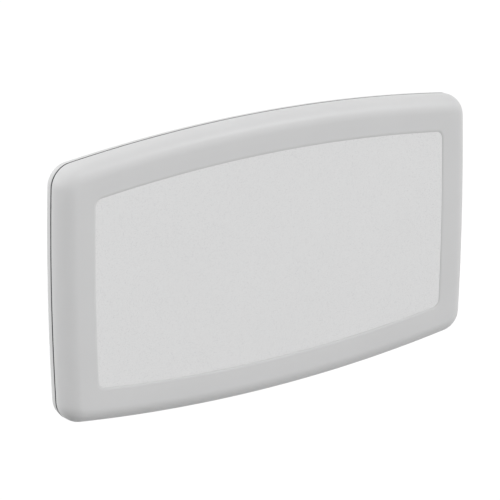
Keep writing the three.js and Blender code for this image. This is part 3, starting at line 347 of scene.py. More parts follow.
# pale plastic with small dark and light flecks moulded in
def speckledPlastic(name, colour, dark, light, roughness):
    material, tree, shader, where = startFinish(name)
    cloud = addNoise(tree, where, 6.0, 3.0)
    tone = addRamp(tree, cloud, [(0.3, shade(colour, 0.994)), (0.7, shade(colour, 1.006))])
    warp = addNode(tree, "ShaderNodeTexNoise", {"Scale": 1100.0, "Detail": 2.0})
    tree.links.new(where.outputs["Object"], warp.inputs["Vector"])
    uneven = addNode(tree, "ShaderNodeVectorMath", operation="MULTIPLY_ADD")
    uneven.inputs[1].default_value = (0.0016, 0.0016, 0.0016)
    tree.links.new(warp.outputs["Color"], uneven.inputs[0])
    tree.links.new(where.outputs["Object"], uneven.inputs[2])
    for scale, reach, share in ((620.0, 0.34, 0.22), (1500.0, 0.42, 0.30)):
        flecks = addNode(tree, "ShaderNodeTexVoronoi", {"Scale": scale})
        tree.links.new(uneven.outputs["Vector"], flecks.inputs["Vector"])
        split = addNode(tree, "ShaderNodeSeparateColor")
        tree.links.new(flecks.outputs["Color"], split.inputs["Color"])
        dot = addRamp(tree, flecks.outputs["Distance"], [(reach * 0.75, (1,) * 3), (reach, (0,) * 3)])
        chosen = addRamp(tree, split.outputs["Red"], [(0.0, (1,) * 3), (share, (0,) * 3)], "CONSTANT")
        kind = addRamp(tree, split.outputs["Green"], [(0.0, dark), (0.62, light)], "CONSTANT")
        mask = addNode(tree, "ShaderNodeMath", operation="MULTIPLY")
        tree.links.new(dot, mask.inputs[0])
        tree.links.new(chosen, mask.inputs[1])
        blend = addNode(tree, "ShaderNodeMix", data_type="RGBA")
        tree.links.new(mask.outputs["Value"], blend.inputs["Factor"])
        tree.links.new(tone, blend.inputs["A"])
        tree.links.new(kind, blend.inputs["B"])
        tone = blend.outputs["Result"]
    tree.links.new(tone, shader.inputs["Base Color"])
    gloss = addRange(tree, addNoise(tree, where, 200.0), roughness - 0.06, roughness + 0.06)
    tree.links.new(gloss, shader.inputs["Roughness"])
    addBump(tree, shader, addNoise(tree, where, 900.0, 2.0), 0.12, 0.00015)
    return material


# zinc-coated sheet: spangle, drawn lines and scuffed gloss
def zincSteel(name, colour, roughness):
    material, tree, shader, where = startFinish(name, metallic=0.9)
    spangle = addNode(tree, "ShaderNodeTexVoronoi", {"Scale": 190.0})
    tree.links.new(where.outputs["Object"], spangle.inputs["Vector"])
    split = addNode(tree, "ShaderNodeSeparateColor")
    tree.links.new(spangle.outputs["Color"], split.inputs["Color"])
    tone = addRamp(tree, split.outputs["Red"], [(0.0, shade(colour, 0.9)), (1.0, shade(colour, 1.08))])
    tree.links.new(tone, shader.inputs["Base Color"])
    drawn = addNoise(tree, where, 240.0, 3.0, stretch=(0.06, 1.0, 1.0))
    tree.links.new(addRange(tree, drawn, roughness - 0.1, roughness + 0.14), shader.inputs["Roughness"])
    addBump(tree, shader, drawn, 0.08, 0.0001)
    return material


# stove enamel over steel: orange-peel skin
def enamelSteel(name, colour, roughness):
    material, tree, shader, where = startFinish(name, metallic=0.2)
    tone = addRamp(tree, addNoise(tree, where, 30.0, 3.0), [(0.3, shade(colour, 0.85)), (0.7, shade(colour, 1.2))])
    tree.links.new(tone, shader.inputs["Base Color"])
    gloss = addRange(tree, addNoise(tree, where, 90.0), roughness - 0.08, roughness + 0.08)
    tree.links.new(gloss, shader.inputs["Roughness"])
    addBump(tree, shader, addNoise(tree, where, 700.0, 1.0), 0.15, 0.0002)
    return material


# ground and plated rod: fine rings round it
def platedRod(name, colour, roughness):
    material, tree, shader, where = startFinish(name, metallic=1.0)
    ground = addNoise(tree, where, 300.0, 3.0, stretch=(1.0, 1.0, 6.0))
    tone = addRamp(tree, ground, [(0.3, shade(colour, 0.94)), (0.7, shade(colour, 1.04))])
    tree.links.new(tone, shader.inputs["Base Color"])
    tree.links.new(addRange(tree, ground, roughness - 0.05, roughness + 0.07), shader.inputs["Roughness"])
    return material


def mattRubber(name, colour, roughness):
    material, tree, shader, where = startFinish(name, specular=0.3)
    bloom = addNoise(tree, where, 350.0, 3.0)
    tone = addRamp(tree, bloom, [(0.35, colour), (0.75, shade(colour, 1.9))])
    tree.links.new(tone, shader.inputs["Base Color"])
    tree.links.new(addRange(tree, bloom, roughness - 0.1, roughness + 0.05), shader.inputs["Roughness"])
    addBump(tree, shader, addNoise(tree, where, 2200.0, 2.0), 0.25, 0.0002)
    return material


# flat woven band: herringbone mirrored about its middle and ribs across it, on the band's own map in metres
def wovenBand(name, colour, roughness):
    material, tree, shader, where = startFinish(name, specular=0.25)
    split = addNode(tree, "ShaderNodeSeparateXYZ")
    tree.links.new(where.outputs["UV"], split.inputs["Vector"])
    middle = addNode(tree, "ShaderNodeMath", operation="ABSOLUTE")
    tree.links.new(split.outputs["X"], middle.inputs[0])
    folded = addNode(tree, "ShaderNodeCombineXYZ")
    tree.links.new(middle.outputs["Value"], folded.inputs["X"])
    tree.links.new(split.outputs["Y"], folded.inputs["Y"])
    twill = addNode(tree, "ShaderNodeTexWave", {"Scale": 230.0, "Distortion": 0.3}, bands_direction="DIAGONAL")
    tree.links.new(folded.outputs["Vector"], twill.inputs["Vector"])
    ribs = addNode(tree, "ShaderNodeTexWave", {"Scale": 230.0, "Distortion": 0.5}, bands_direction="Y")
    tree.links.new(where.outputs["UV"], ribs.inputs["Vector"])
    weave = addNode(tree, "ShaderNodeMath", operation="MULTIPLY_ADD")
    weave.inputs[1].default_value = 0.45
    tree.links.new(ribs.outputs["Fac"], weave.inputs[0])
    tree.links.new(twill.outputs["Fac"], weave.inputs[2])
    tone = addRamp(tree, weave.outputs["Value"], [(0.1, shade(colour, 0.35)), (1.0, shade(colour, 1.9))])
    tree.links.new(tone, shader.inputs["Base Color"])
    shader.inputs["Roughness"].default_value = roughness
    shader.inputs["Sheen Weight"].default_value = 0.12
    addBump(tree, shader, weave.outputs["Value"], 0.6, 0.0005)
    return material


# thread: twisted yarn along each stitch
def sewingThread(name, colour, roughness):
    material, tree, shader, where = startFinish(name, specular=0.3)
    yarn = addNoise(tree, where, 1800.0, 2.0)
    tone = addRamp(tree, yarn, [(0.3, shade(colour, 0.7)), (0.7, shade(colour, 1.2))])
    tree.links.new(tone, shader.inputs["Base Color"])
    shader.inputs["Roughness"].default_value = roughness
    addBump(tree, shader, yarn, 0.4, 0.0002)
    return material


finishes = {
    "grey_plastic": mouldedPlastic("greyMoulded", (0.536, 0.537, 0.539), 0.36),
    "speckled_plastic": speckledPlastic("speckledPanel", (0.661, 0.662, 0.663), (0.46, 0.46, 0.47),
                                        (0.75, 0.75, 0.75), 0.5),
    "pale_plastic": mouldedPlastic("paleMoulded", (0.58, 0.583, 0.59), 0.45),
    "dark_plastic": mouldedPlastic("darkMoulded", (0.026, 0.027, 0.029), 0.45, clouding=0.08),
    "steel": zincSteel("zincSteel", (0.42, 0.43, 0.45), 0.42),
    "black_steel": enamelSteel("enamelSteel", (0.018, 0.019, 0.021), 0.4),
    "chrome": platedRod("platedRod", (0.68, 0.69, 0.71), 0.14),
    "rubber": mattRubber("mattRubber", (0.012, 0.012, 0.013), 0.85),
    "webbing": wovenBand("wovenBand", (0.026, 0.028, 0.031), 0.9),
}
threadFinish = sewingThread("sewingThread", (0.20, 0.205, 0.21), 0.8)
print("finishes ready:", len(finishes))

# bed: frame shell with the recess for the panel
bedFrame = {
    "wall": 0.003, "frontRadius": 0.032, "frontCorner": 0.018, "frameWidth": 0.063, "roll": 0.0054,
    "rollDepth": 0.0013, "rollSteps": 7, "recessDepth": 0.0017, "recessCorner": 0.015, "edgeSoft": 0.0006,
    "roundSteps": 20, "panel": 0.0026,
}
recessInset = bedFrame["frameWidth"] + bedFrame["roll"]
panelY = station["frontY"] + bedFrame["recessDepth"]
recessFloorY = panelY + bedFrame["panel"] + gap


def cornerAt(inset):
    return max(station["corner"] - inset, bedFrame["frontCorner"])


def frontRound(radius, wall, steps):
    rings = []
    for i in range(steps + 1):
        angle = i / steps * math.pi / 2
        inset = bedFrame["frontRadius"] - radius * math.sin(angle)
        rings.append((inset, cornerAt(inset), station["frontY"] + wall + radius - radius * math.cos(angle)))
    return rings


def makeBedFrame():
    size = bedFrame
    frontY, rimY, corner, wall = station["frontY"], station["rimY"], station["corner"], size["wall"]
    soft = size["edgeSoft"]
    lip = size["frameWidth"]
    rings = [
        (recessInset, size["recessCorner"], recessFloorY),
        (recessInset, size["recessCorner"], panelY + 0.0001),
        (recessInset, size["recessCorner"], frontY + size["rollDepth"] + soft / 4),
    ]
    for i in range(size["rollSteps"], -1, -1):
        share = i / size["rollSteps"]
        inset = lip + (size["roll"] - soft / 8) * share
        rings.append((inset, size["recessCorner"] + recessInset - inset, frontY + size["rollDepth"] * share ** 1.8))
    rings.append((size["frontRadius"] + 0.004, size["frontCorner"], frontY))
    rings += frontRound(size["frontRadius"], 0, size["roundSteps"])
    rings += [
        (0, corner, rimY - soft), (soft * 0.1, corner, rimY - soft * 0.55),
        (soft * 0.45, corner - soft * 0.45, rimY - soft * 0.1), (soft, corner - soft, rimY),
        (wall, corner - wall, rimY),
    ]
    rings += reversed(frontRound(size["frontRadius"] - wall, wall, 8))
    rings += [
        (lip - wall, size["frontCorner"] + wall, frontY + wall),
        (recessInset - wall / 2, size["recessCorner"] + wall, recessFloorY + wall),
    ]
    piece = shellLoft("bedFrame", rings)
    return dress(piece, "bed", "grey_plastic", "bed_outer_shell")


makeBedFrame()
print("bed frame made")

# bed: speckled panel let into the recess
speckledPanel = {"thickness": 0.0026, "corner": 0.015, "edgeSoft": 0.00015, "room": 0.00004}


def makeSpeckledPanel():
    size = speckledPanel
    soft = size["edgeSoft"]
    inset = recessInset + size["room"]
    piece = shellLoft("speckledPanel", [
        (inset, size["corner"], panelY + size["thickness"]),
        (inset, size["corner"], panelY + soft),
        (inset + soft * 0.3, size["corner"], panelY + soft * 0.3),
        (inset + soft, size["corner"], panelY),
        (inset + 0.002, size["corner"], panelY),
    ])
    return dress(piece, "bed", "speckled_plastic", "front_panel")


makeSpeckledPanel()
print("panel made")

# bed: tray that the child lies in
bedTray = {
    "wall": 0.0025, "rim": 0.058, "run": 0.110, "depth": 0.026, "corner": 0.052, "steps": 22,
    "strapSlot": (0.041, 0.006), "screwHole": 0.0019, "screwHead": 0.0041, "screwLength": 0.020,
}
trayFloorY = station["rimY"] - bedTray["depth"]


def trayDepth(share):
    return bedTray["depth"] * share * share * (3 - 2 * share)


# the CAD strap slots lie midway between the second and third of six steps down the slope
strapSlotZ = station["height"] / 2 - bedTray["rim"] - bedTray["run"] * 5 / 12
traySeats = [(Vector(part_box(f"tray_screw_{i}")[0]) + Vector(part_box(f"tray_screw_{i}")[1])) / 2 for i in range(1, 9)]
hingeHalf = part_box("hinge_wall_leaf")[1].x
hinge = {
    "axisY": -0.0619, "axisZ": -0.2405, "radius": 0.005, "pin": 0.0025, "space": 0.0008, "room": 0.0015,
    "leaf": 0.0025, "wallHeight": 0.046, "bedHeight": 0.026, "knuckles": 15, "head": 0.0025,
}
hingeRoom = hingeHalf + hinge["head"] + hinge["room"]


def makeBedTray():
    size = bedTray
    rimY, wall, steps = station["rimY"], size["wall"], size["steps"]
    shares = [i / steps for i in range(steps + 1)]
    slope = [(size["rim"] + size["run"] * share, size["corner"], rimY - trayDepth(share)) for share in shares]
    edge = bedFrame["wall"] + gap
    soft = 0.0006
    corner = station["corner"] - edge
    rings = [(inset, corner, y - wall) for inset, corner, y in reversed(slope[::2])]
    rings += [
        (edge, corner, rimY - wall), (edge, corner, rimY - soft),
        (edge + soft * 0.3, corner, rimY - soft * 0.3), (edge + soft, corner, rimY),
    ]
    floorRing = (size["rim"] + size["run"] + 0.003, size["corner"], trayFloorY)
    piece = shellLoft("bedTray", rings + slope + [floorRing])
    axisZ, radius, room = hinge["axisZ"], hinge["radius"], hinge["room"]
    carve(piece, block("hingeWindow", (-hingeRoom, rimY - size["depth"], axisZ - radius - room),
                       (hingeRoom, rimY + 0.001, axisZ + hinge["bedHeight"] + room)))
    width, height = size["strapSlot"]
    for side in (-1, 1):
        shape = roundedBox(0, side * strapSlotZ, width, height, 0.0015, 4)
        carve(piece, pulled("strapSlot", shape, "y", trayFloorY, rimY))
    for seat in traySeats:
        hole, head = size["screwHole"], size["screwHead"]
        profile = [(hole, -size["screwLength"]), (hole, hole - head), (head, 0), (head, 0.001)]
        carve(piece, turned("screwHole", "y", (seat.x, rimY, seat.z), profile, 24))
    return dress(piece, "bed", "pale_plastic", "bed_tray")


makeBedTray()
print("tray made")

# wall: moulded housing with its flange round the bed's outline
wallHousing = {
    "wall": 0.003, "flangeDepth": 0.015, "draft": 0.0025, "round": 0.0025, "inset": 0.046, "corner": 0.026,
    "backDraft": 0.001, "fieldInset": 0.060, "fieldBevel": 0.002, "fieldStep": 0.001, "boss": 0.008,
    "window": (0.176, 0.112), "windowCorner": 0.008, "lug": 0.004, "lugReach": 0.0045, "pivot": 0.0023,
    "screwHole": 0.0027, "bumperHole": 0.0033, "stopRoom": 0.0004, "notchRoom": 0.001,
}
fieldBackY = station["fieldY"] + wallHousing["wall"]
linerX = 0.097
linerLow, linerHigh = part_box("liner_bin_right")
linerZ = (linerLow.z + linerHigh.z) / 2
doorPivot = (-0.0553, linerZ - wallHousing["window"][1] / 2 + 0.006)
housingSeats = [(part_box(f"housing_screw_{i}")[0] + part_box(f"housing_screw_{i}")[1]) / 2 for i in range(1, 5)]
bumperSeats = [(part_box(f"bumper_{i}")[0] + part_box(f"bumper_{i}")[1]) / 2 for i in range(1, 5)]
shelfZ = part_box("gas_cylinder_right")[0].z - 0.008
lipY = hinge["axisY"] + hinge["radius"] + gap + 0.003
leverX = (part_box("lift_lever_right")[0].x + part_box("lift_lever_right")[1].x) / 2
rodX = leverX + 0.010
rodY = hinge["axisY"] + 0.0165


def makeWallHousing():
    size = wallHousing
    wall, corner, bend = size["wall"], station["corner"], size["round"]
    flangeY, fieldY = station["flangeY"], station["fieldY"]
    backY = flangeY + size["flangeDepth"]
    inside = flangeY + wall
    rings = [
        (size["fieldInset"], size["corner"], fieldY),
        (size["fieldInset"] - size["fieldBevel"], size["corner"] + size["fieldBevel"], flangeY),
        (bend + 0.002, corner - bend, flangeY),
    ]
    for i in range(9):
        angle = i / 8 * math.pi / 2
        inset = bend - bend * math.sin(angle)
        rings.append((inset, corner - inset, flangeY + bend - bend * math.cos(angle)))
    draft, deep = size["draft"], size["inset"]
    rings += [
        (draft, corner - draft, backY),
        (draft + wall, corner - draft - wall, backY),
        (bend + wall, corner - bend - wall, inside),
        (deep, size["corner"], inside),
        (deep + size["backDraft"], size["corner"], -gap),
        (deep + size["backDraft"] + wall, size["corner"], -gap),
        (deep + wall, size["corner"], inside),
        (size["fieldInset"] - size["fieldBevel"] - size["fieldStep"], size["corner"] + size["fieldBevel"], inside),
        (size["fieldInset"] + size["fieldStep"], size["corner"], fieldBackY),
    ]
    piece = shellLoft("wallHousing", rings)
    for seat in housingSeats:
        profile = [(size["boss"], fieldBackY - 0.001), (size["boss"], station["plateY"] - gap)]
        weld(piece, turned("boss", "y", (seat.x, 0, seat.z), profile, 32))
    width, height = size["window"]
    reach = size["lugReach"]
    for side in (-1, 1):
        for end in (-1, 1):
            inner = side * linerX + end * width / 2
            outer = inner + end * size["lug"]
            weld(piece, block("lug", (min(inner, outer), fieldBackY - 0.001, doorPivot[1] - reach),
                              (max(inner, outer), doorPivot[0] + reach, doorPivot[1] + reach)))
        shape = roundedBox(side * linerX, linerZ, width, height, size["windowCorner"])
        carve(piece, pulled("window", shape, "y", flangeY - 0.001, fieldBackY + 0.001))
        half = width / 2 + size["lug"] - 0.001
        bore = [(size["pivot"], -half), (size["pivot"], half)]
        carve(piece, turned("pivotHole", "x", (side * linerX, *doorPivot), bore, 20))
    for seat in housingSeats:
        bore = [(size["screwHole"], flangeY - 0.001), (size["screwHole"], 0.001)]
        carve(piece, turned("screwHole", "y", (seat.x, 0, seat.z), bore, 24))
    for seat in bumperSeats:
        bore = [(size["bumperHole"], flangeY - 0.001), (size["bumperHole"], fieldBackY)]
        carve(piece, turned("bumperHole", "y", (seat.x, 0, seat.z), bore, 24))
    stopZ = hinge["axisZ"] - (flangeY - station["rimY"]) / 2 + size["stopRoom"]
    carve(piece, block("belowAxis", (-1, -0.2, -1), (1, 0.2, stopZ)))
    notchTop = max(hinge["axisZ"] + hinge["wallHeight"], shelfZ + 0.003) + size["notchRoom"]
    carve(piece, block("leafNotch", (-hingeRoom, -0.2, -0.5), (hingeRoom, lipY + size["notchRoom"], notchTop)))
    for side in (-1, 1):
        edges = sorted((side * (leverX - 0.008), side * (rodX + 0.0055 + 0.008)))
        deepY = rodY + 0.0076 + (0.0165 * math.sqrt(2) + 0.0044) / 2
        carve(piece, block("leverNotch", (edges[0], -0.2, -0.5), (edges[1], deepY, shelfZ - size["notchRoom"])))
    return dress(piece, "wall_unit", "grey_plastic", "wall_housing")


makeWallHousing()
print("wall housing made")

# wall: thin dark strip on the flange, painted shade that darkens the gap, seen from outside as the parting line
paintedGapShade = {"edge": 0.0003, "width": 0.0044, "proud": 0.0018, "sunk": 0.0007, "round": 0.0005}


def makePaintedGapShade():
    size = paintedGapShade
    corner, flangeY, bend = station["corner"], station["flangeY"], size["round"]
    outer, inner = size["edge"], size["edge"] + size["width"]
    front = flangeY - size["proud"]
    piece = ringLoft("paintedGapShade", [[(x, y, z) for x, z in outlineRing(inset, corner - inset)] for inset, y in (
        (outer, flangeY + size["sunk"]), (outer, front + bend), (outer + bend * 0.3, front + bend * 0.3),
        (outer + bend, front), (inner - bend, front), (inner - bend * 0.3, front + bend * 0.3),
        (inner, front + bend), (inner, flangeY + size["sunk"]))], close="bridge")
    carve(piece, block("belowAxis", (-1, -0.2, -1), (1, 0.2, hinge["axisZ"] + 0.004)))
    # the strip is painted shade: its dark rubber finish stands in for the shade inside the parting gap
    return dress(piece, "wall_unit", "rubber")


makePaintedGapShade()
print("seal made")

# wall: chassis bent from one steel sheet
chassis = {
    "steel": 0.003, "bend": 0.0015, "flange": 0.022, "lip": 0.029, "studs": 0.4064, "studRow": 0.130,
    "studSlot": (0.024, 0.009), "centreHoles": 0.120, "screwHole": 0.0027, "leverWindow": 0.008, "rodHole": 0.006,
}
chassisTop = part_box("mounting_chassis")[1].z


def makeChassis():
    size = chassis
    steel, inner = size["steel"], size["bend"]
    outer = inner + steel
    right = math.pi / 2
    top, low, lip = chassisTop - outer, shelfZ + outer, lipY + inner
    section = arc(-outer, top, outer, 0, right, 6)
    section += [(-outer, chassisTop), (-steel - size["flange"], chassisTop)]
    section += [(-steel - size["flange"], chassisTop - steel)]
    section += arc(-outer, top, inner, right, 0, 6) + [(-steel, top)]
    section += arc(-outer, low, inner, 0, -right, 6) + [(-outer, shelfZ + steel)]
    section += arc(lip, shelfZ - inner, outer, right, 2 * right, 6) + [(lipY - steel, shelfZ - inner)]
    section += [(lipY - steel, shelfZ + steel - size["lip"]), (lipY, shelfZ + steel - size["lip"])]
    section += arc(lip, shelfZ - inner, inner, 2 * right, right, 6) + [(lip, shelfZ)]
    section += arc(-outer, low, outer, -right, 0, 6) + [(0, low)]
    piece = pulled("chassisSheet", section, "x", -hingeHalf, hingeHalf)
    through = (-steel - 0.001, 0.001)
    width, height = size["studSlot"]
    for side in (-1, 1):
        for row in (-1, 1):
            shape = roundedBox(side * size["studs"] / 2, row * size["studRow"], width, height, height / 2 - 1e-5)
            carve(piece, pulled("studSlot", shape, "y", *through))
        centre = (0, 0, side * size["centreHoles"] / 2)
        carve(piece, turned("centreHole", "y", centre, [(height / 2, through[0]), (height / 2, through[1])], 28))
        half = size["leverWindow"]
        leverTop = hinge["axisZ"] + 0.0165 * math.sqrt(2) + 0.0044 + 0.0076
        carve(piece, block("leverWindow", (side * leverX - half, lipY - 0.005, -0.3),
                           (side * leverX + half, lipY + 0.002, leverTop)))
        bore = [(size["rodHole"], shelfZ - 0.001), (size["rodHole"], shelfZ + 0.004)]
        carve(piece, turned("rodHole", "z", (side * rodX, rodY, 0), bore, 28))
    for seat in housingSeats:
        bore = [(size["screwHole"], through[0]), (size["screwHole"], through[1])]
        carve(piece, turned("screwHole", "y", (seat.x, 0, seat.z), bore, 20))
    return dress(piece, "wall_unit", "steel", "mounting_chassis")


makeChassis()
print("chassis made")


# hinge: rolled knuckles on two leaves, one pin, riveted on
hingeFit = {"relief": 0.0065, "rivet": 0.0042, "rivetRise": 0.0012, "windowTop": 0.028, "windowHalf": 0.0167}
pitch = 2 * hingeHalf / hinge["knuckles"]


def leafOutline(parity, height):
    axisZ, space = hinge["axisZ"], hinge["space"]
    relief, root = axisZ + hingeFit["relief"], axisZ + 0.002
    points = [(-hingeHalf, axisZ + height), (-hingeHalf, relief)]
    spans = []
    for index in range(hinge["knuckles"]):
        middle = index * pitch - hingeHalf + pitch / 2
        overLever = abs(abs(middle) - leverX) < pitch / 2
        if index % 2 == parity and not overLever:
            low, high = middle - (pitch - space) / 2, middle + (pitch - space) / 2
            spans.append((low, high))
            points += [(low, relief), (low, root), (high, root), (high, relief)]
        elif overLever and parity == 0:
            low, high = middle - hingeFit["windowHalf"], middle + hingeFit["windowHalf"]
            top = axisZ + hingeFit["windowTop"]
            points += [(low, relief), (low, top), (high, top), (high, relief)]
    points += [(hingeHalf, relief), (hingeHalf, axisZ + height)]
    slim = []
    for point in points:
        if not slim or math.dist(point, slim[-1]) > 1e-5:
            slim.append(point)
    return slim, spans


def makeHingeLeaf(name, parity, height, low, body, node):
    outline, spans = leafOutline(parity, height)
    piece = pulled(name, outline, "y", low, low + hinge["leaf"])
    axis = (0, hinge["axisY"], hinge["axisZ"])
    bore, radius, soft = hinge["pin"] + gap, hinge["radius"], 0.0003
    for left, right in spans:
        weld(piece, turned("knuckle", "x", axis, [
            (bore, left), (radius - soft, left), (radius, left + soft),
            (radius, right - soft), (radius - soft, right), (bore, right)], 32, close="bridge"))
    return dress(piece, body, "steel", node)


def makeHingePin():
    half, pin, head = hingeHalf + gap, hinge["pin"], hinge["head"]
    crown = [(pin + 0.0002, half + head), (pin + 0.0011, half + head * 0.8), (pin + 0.0015, half + head * 0.4)]
    profile = [(radius, -level) for radius, level in crown] + [(pin + 0.0015, -half), (pin, -half)]
    profile += [(radius, -level) for radius, level in reversed(profile)]
    piece = turned("hingePin", "x", (0, hinge["axisY"], hinge["axisZ"]), profile, 24)
    return dress(piece, "wall_unit", "steel", "hinge_pin")


def makeRivets(prefix, body, faceY, z, places):
    radius, rise = hingeFit["rivet"], hingeFit["rivetRise"]
    dome = [(radius, 0.0006), (radius, -rise * 0.2), (radius * 0.86, -rise * 0.65), (radius * 0.5, -rise * 0.95),
            (radius * 0.2, -rise)] if faceY > hinge["axisY"] else [
            (radius, -0.0006), (radius, rise * 0.2), (radius * 0.86, rise * 0.65), (radius * 0.5, rise * 0.95),
            (radius * 0.2, rise)]
    first = turned(prefix + "1", "y", (0, faceY, z), dome, 24)
    for number, x in enumerate(places[1:], 2):
        dress(copied(first, prefix + str(number), (x, 0, 0)), body, "steel")
    first.data.transform(Matrix.Translation((places[0], 0, 0)))
    dress(first, body, "steel")


makeHingeLeaf("hingeWallLeaf", 0, hinge["wallHeight"], hinge["axisY"] + hinge["radius"] - hinge["leaf"],
              "wall_unit", "hinge_wall_leaf")
makeHingeLeaf("hingeBedLeaf", 1, hinge["bedHeight"], hinge["axisY"] - hinge["radius"], "bed", "hinge_bed_leaf")
makeHingePin()
rivetPlaces = [sign * x for x in (0.045, 0.115, 0.205, 0.272) for sign in (-1, 1)]
makeRivets("wallRivet", "wall_unit", hinge["axisY"] + hinge["radius"] - hinge["leaf"], hinge["axisZ"] + 0.037,
           rivetPlaces)
makeRivets("bedRivet", "bed", hinge["axisY"] - hinge["radius"] + hinge["leaf"], hinge["axisZ"] + 0.0165, rivetPlaces)
print("hinge made")

# bed: slotted levers that lift the gas springs' rods
liftLever = {"thickness": 0.004, "reach": 0.0165, "half": 0.0076, "arm": 0.022, "slot": 0.0044, "boss": 0.02946}


def makeLiftLevers():
    size = liftLever
    axisY, axisZ = hinge["axisY"], hinge["axisZ"]
    tip, half = size["reach"], size["half"]
    across = half * math.sqrt(0.5)
    near = tip * math.sqrt(0.5)
    bedSide, back = -hinge["radius"] + hinge["leaf"] + gap, hinge["radius"] - hinge["leaf"]
    eighth = math.pi / 4
    shape = [(bedSide, size["arm"]), (bedSide, 0), (tip - across, -tip - across)]
    shape += arc(tip, -tip, half, -3 * eighth, eighth, 16)[1:] + [(tip + across, -tip + across)]
    shape += [(back + across, hinge["radius"]), (back, size["arm"])]
    slot = arc(tip, -tip, size["slot"], -3 * eighth, eighth, 12) + [
        (tip + size["slot"] * math.sqrt(0.5), -tip + size["slot"] * math.sqrt(0.5))]
    slot += arc(near, -near, size["slot"], eighth, 5 * eighth, 12) + [
        (near - size["slot"] * math.sqrt(0.5), -near - size["slot"] * math.sqrt(0.5))]

    def at(points):
        return [(axisY + y, axisZ + z) for y, z in points]

    thick, boss = size["thickness"] / 2, size["boss"] / 2
    piece = pulled("liftLeverRight", at(shape), "x", leverX - thick, leverX + thick)
    softenEdges(piece, 0.0004)
    carve(piece, pulled("slot", at(slot), "x", leverX - 0.01, leverX + 0.01))
    centre = (leverX, axisY, axisZ)
    bore, radius = hinge["pin"] + gap, hinge["radius"]
    weld(piece, turned("boss", "x", centre, [
        (radius - 0.0004, -boss), (radius, -boss + 0.0004), (radius, boss - 0.0004), (radius - 0.0004, boss)], 32))
    carve(piece, turned("bore", "x", centre, [(bore, -0.03), (bore, 0.03)], 24))
    carve(piece, block("leafRoom", (leverX - 0.03, axisY - 0.01, axisZ), (leverX + 0.03, axisY + bedSide, axisZ + 0.022)))
    twin = copied(piece, "liftLeverLeft", mirror=True)
    dress(piece, "bed", "steel", "lift_lever_right")
    dress(twin, "bed", "steel", "lift_lever_left")


makeLiftLevers()
print("levers made")

# gas springs: rolled cylinder with its tang, and the rod with piston, eye and cross pin
gasSpring = {
    "radius": 0.009, "bore": 0.0075, "length": 0.140, "cap": 0.008, "neck": 0.0043, "tang": 0.006, "tangRise": 0.014,
    "rod": 0.004, "rodLength": 0.128, "piston": 0.007, "pistonLength": 0.012, "eye": 0.006, "eyeWidth": 0.011,
    "pin": 0.003, "groove": 0.0007,
}
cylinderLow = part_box("gas_cylinder_right")[0].z
crossPinZ = hinge["axisZ"] - 0.0165 * 0.94


def makeGasSprings():
    size = gasSpring
    radius, length, groove = size["radius"], size["length"], size["groove"]
    profile = [(size["bore"], length - size["cap"]), (size["bore"], size["cap"]), (size["neck"], size["cap"]),
               (size["neck"], 0), (radius - 0.0012, 0), (radius - 0.0003, 0.0004), (radius, 0.0014)]
    for level in (0.010, length - 0.013):
        profile += [(radius, level), (radius - groove, level + 0.0008), (radius - groove, level + 0.0018),
                    (radius, level + 0.0026)]
    profile += [(radius, length - 0.0014), (radius - 0.0003, length - 0.0004), (radius - 0.0012, length)]
    centre = (rodX, rodY, cylinderLow)
    piece = turned("gasCylinderRight", "z", centre, profile, 36)
    half, eyeZ = size["tang"] / 2, cylinderLow + length + size["tangRise"]
    tang = [(rodY - 0.006, cylinderLow + length - 0.002), (rodY + 0.006, cylinderLow + length - 0.002)]
    tang += arc(rodY, eyeZ, 0.006, 0, math.pi, 16) + [(rodY - 0.006, eyeZ)]
    weld(piece, softenEdges(pulled("tang", tang, "x", rodX - half, rodX + half), 0.0004))
    bore = size["pin"] + gap
    carve(piece, turned("eyeHole", "x", (rodX, rodY, eyeZ), [(bore, -0.02), (bore, 0.02)], 20))
    twin = copied(piece, "gasCylinderLeft", mirror=True)
    dress(piece, "wall_unit", "black_steel", "gas_cylinder_right")
    dress(twin, "wall_unit", "black_steel", "gas_cylinder_left")
    rod, long, piston = size["rod"], size["rodLength"], size["piston"]
    start = long - size["pistonLength"]
    shaft = turned("gasRodRight", "z", (rodX, rodY, crossPinZ), [
        (rod, 0), (rod, start), (piston, start), (piston, start + 0.004), (piston - 0.0008, start + 0.005),
        (piston - 0.0008, start + 0.007), (piston, start + 0.008), (piston, long)], 32)
    eye, wide = size["eye"], size["eyeWidth"] / 2
    weld(shaft, turned("eye", "x", (rodX, rodY, crossPinZ), [
        (eye - 0.0006, -wide), (eye, -wide + 0.0006), (eye, wide - 0.0006), (eye - 0.0006, wide)], 32))
    pin = size["pin"]
    weld(shaft, turned("crossPin", "x", (rodX, rodY, crossPinZ), [
        (pin - 0.0005, -0.014), (pin, -0.0135), (pin, wide + 0.001), (pin - 0.0005, wide + 0.0015)], 24))
    other = copied(shaft, "gasRodLeft", mirror=True)
    dress(shaft, "gas_rod_right", "chrome", "gas_rod_right")
    dress(other, "gas_rod_left", "chrome", "gas_rod_left")


makeGasSprings()
print("gas springs made")

# wall: liner bins and their tilting doors
linerBin = {"wall": 0.002, "corner": 0.006}
linerDoor = {
    "room": 0.0008, "thickness": 0.003, "edge": 0.0008, "barrel": 0.0035, "pivot": 0.002, "slot": (0.108, 0.026),
    "slotRise": 0.006, "slotLip": 0.0014, "notch": 0.013,
}


def makeLinerBins():
    low, high = linerLow, linerHigh
    wall, corner = linerBin["wall"], linerBin["corner"]
    width, height = high.x - low.x, high.z - low.z
    piece = pulled("linerBinRight", roundedBox(linerX, linerZ, width, height, corner), "y", low.y, high.y)
    softenEdges(piece, 0.0004)
    inside = roundedBox(linerX, linerZ, width - 2 * wall, height - 2 * wall, corner - wall)
    carve(piece, pulled("binInside", inside, "y", low.y - 0.001, high.y - wall))
    twin = copied(piece, "linerBinLeft", (-2 * linerX, 0, 0))
    dress(piece, "wall_unit", "pale_plastic", "liner_bin_right")
    dress(twin, "wall_unit", "pale_plastic", "liner_bin_left")


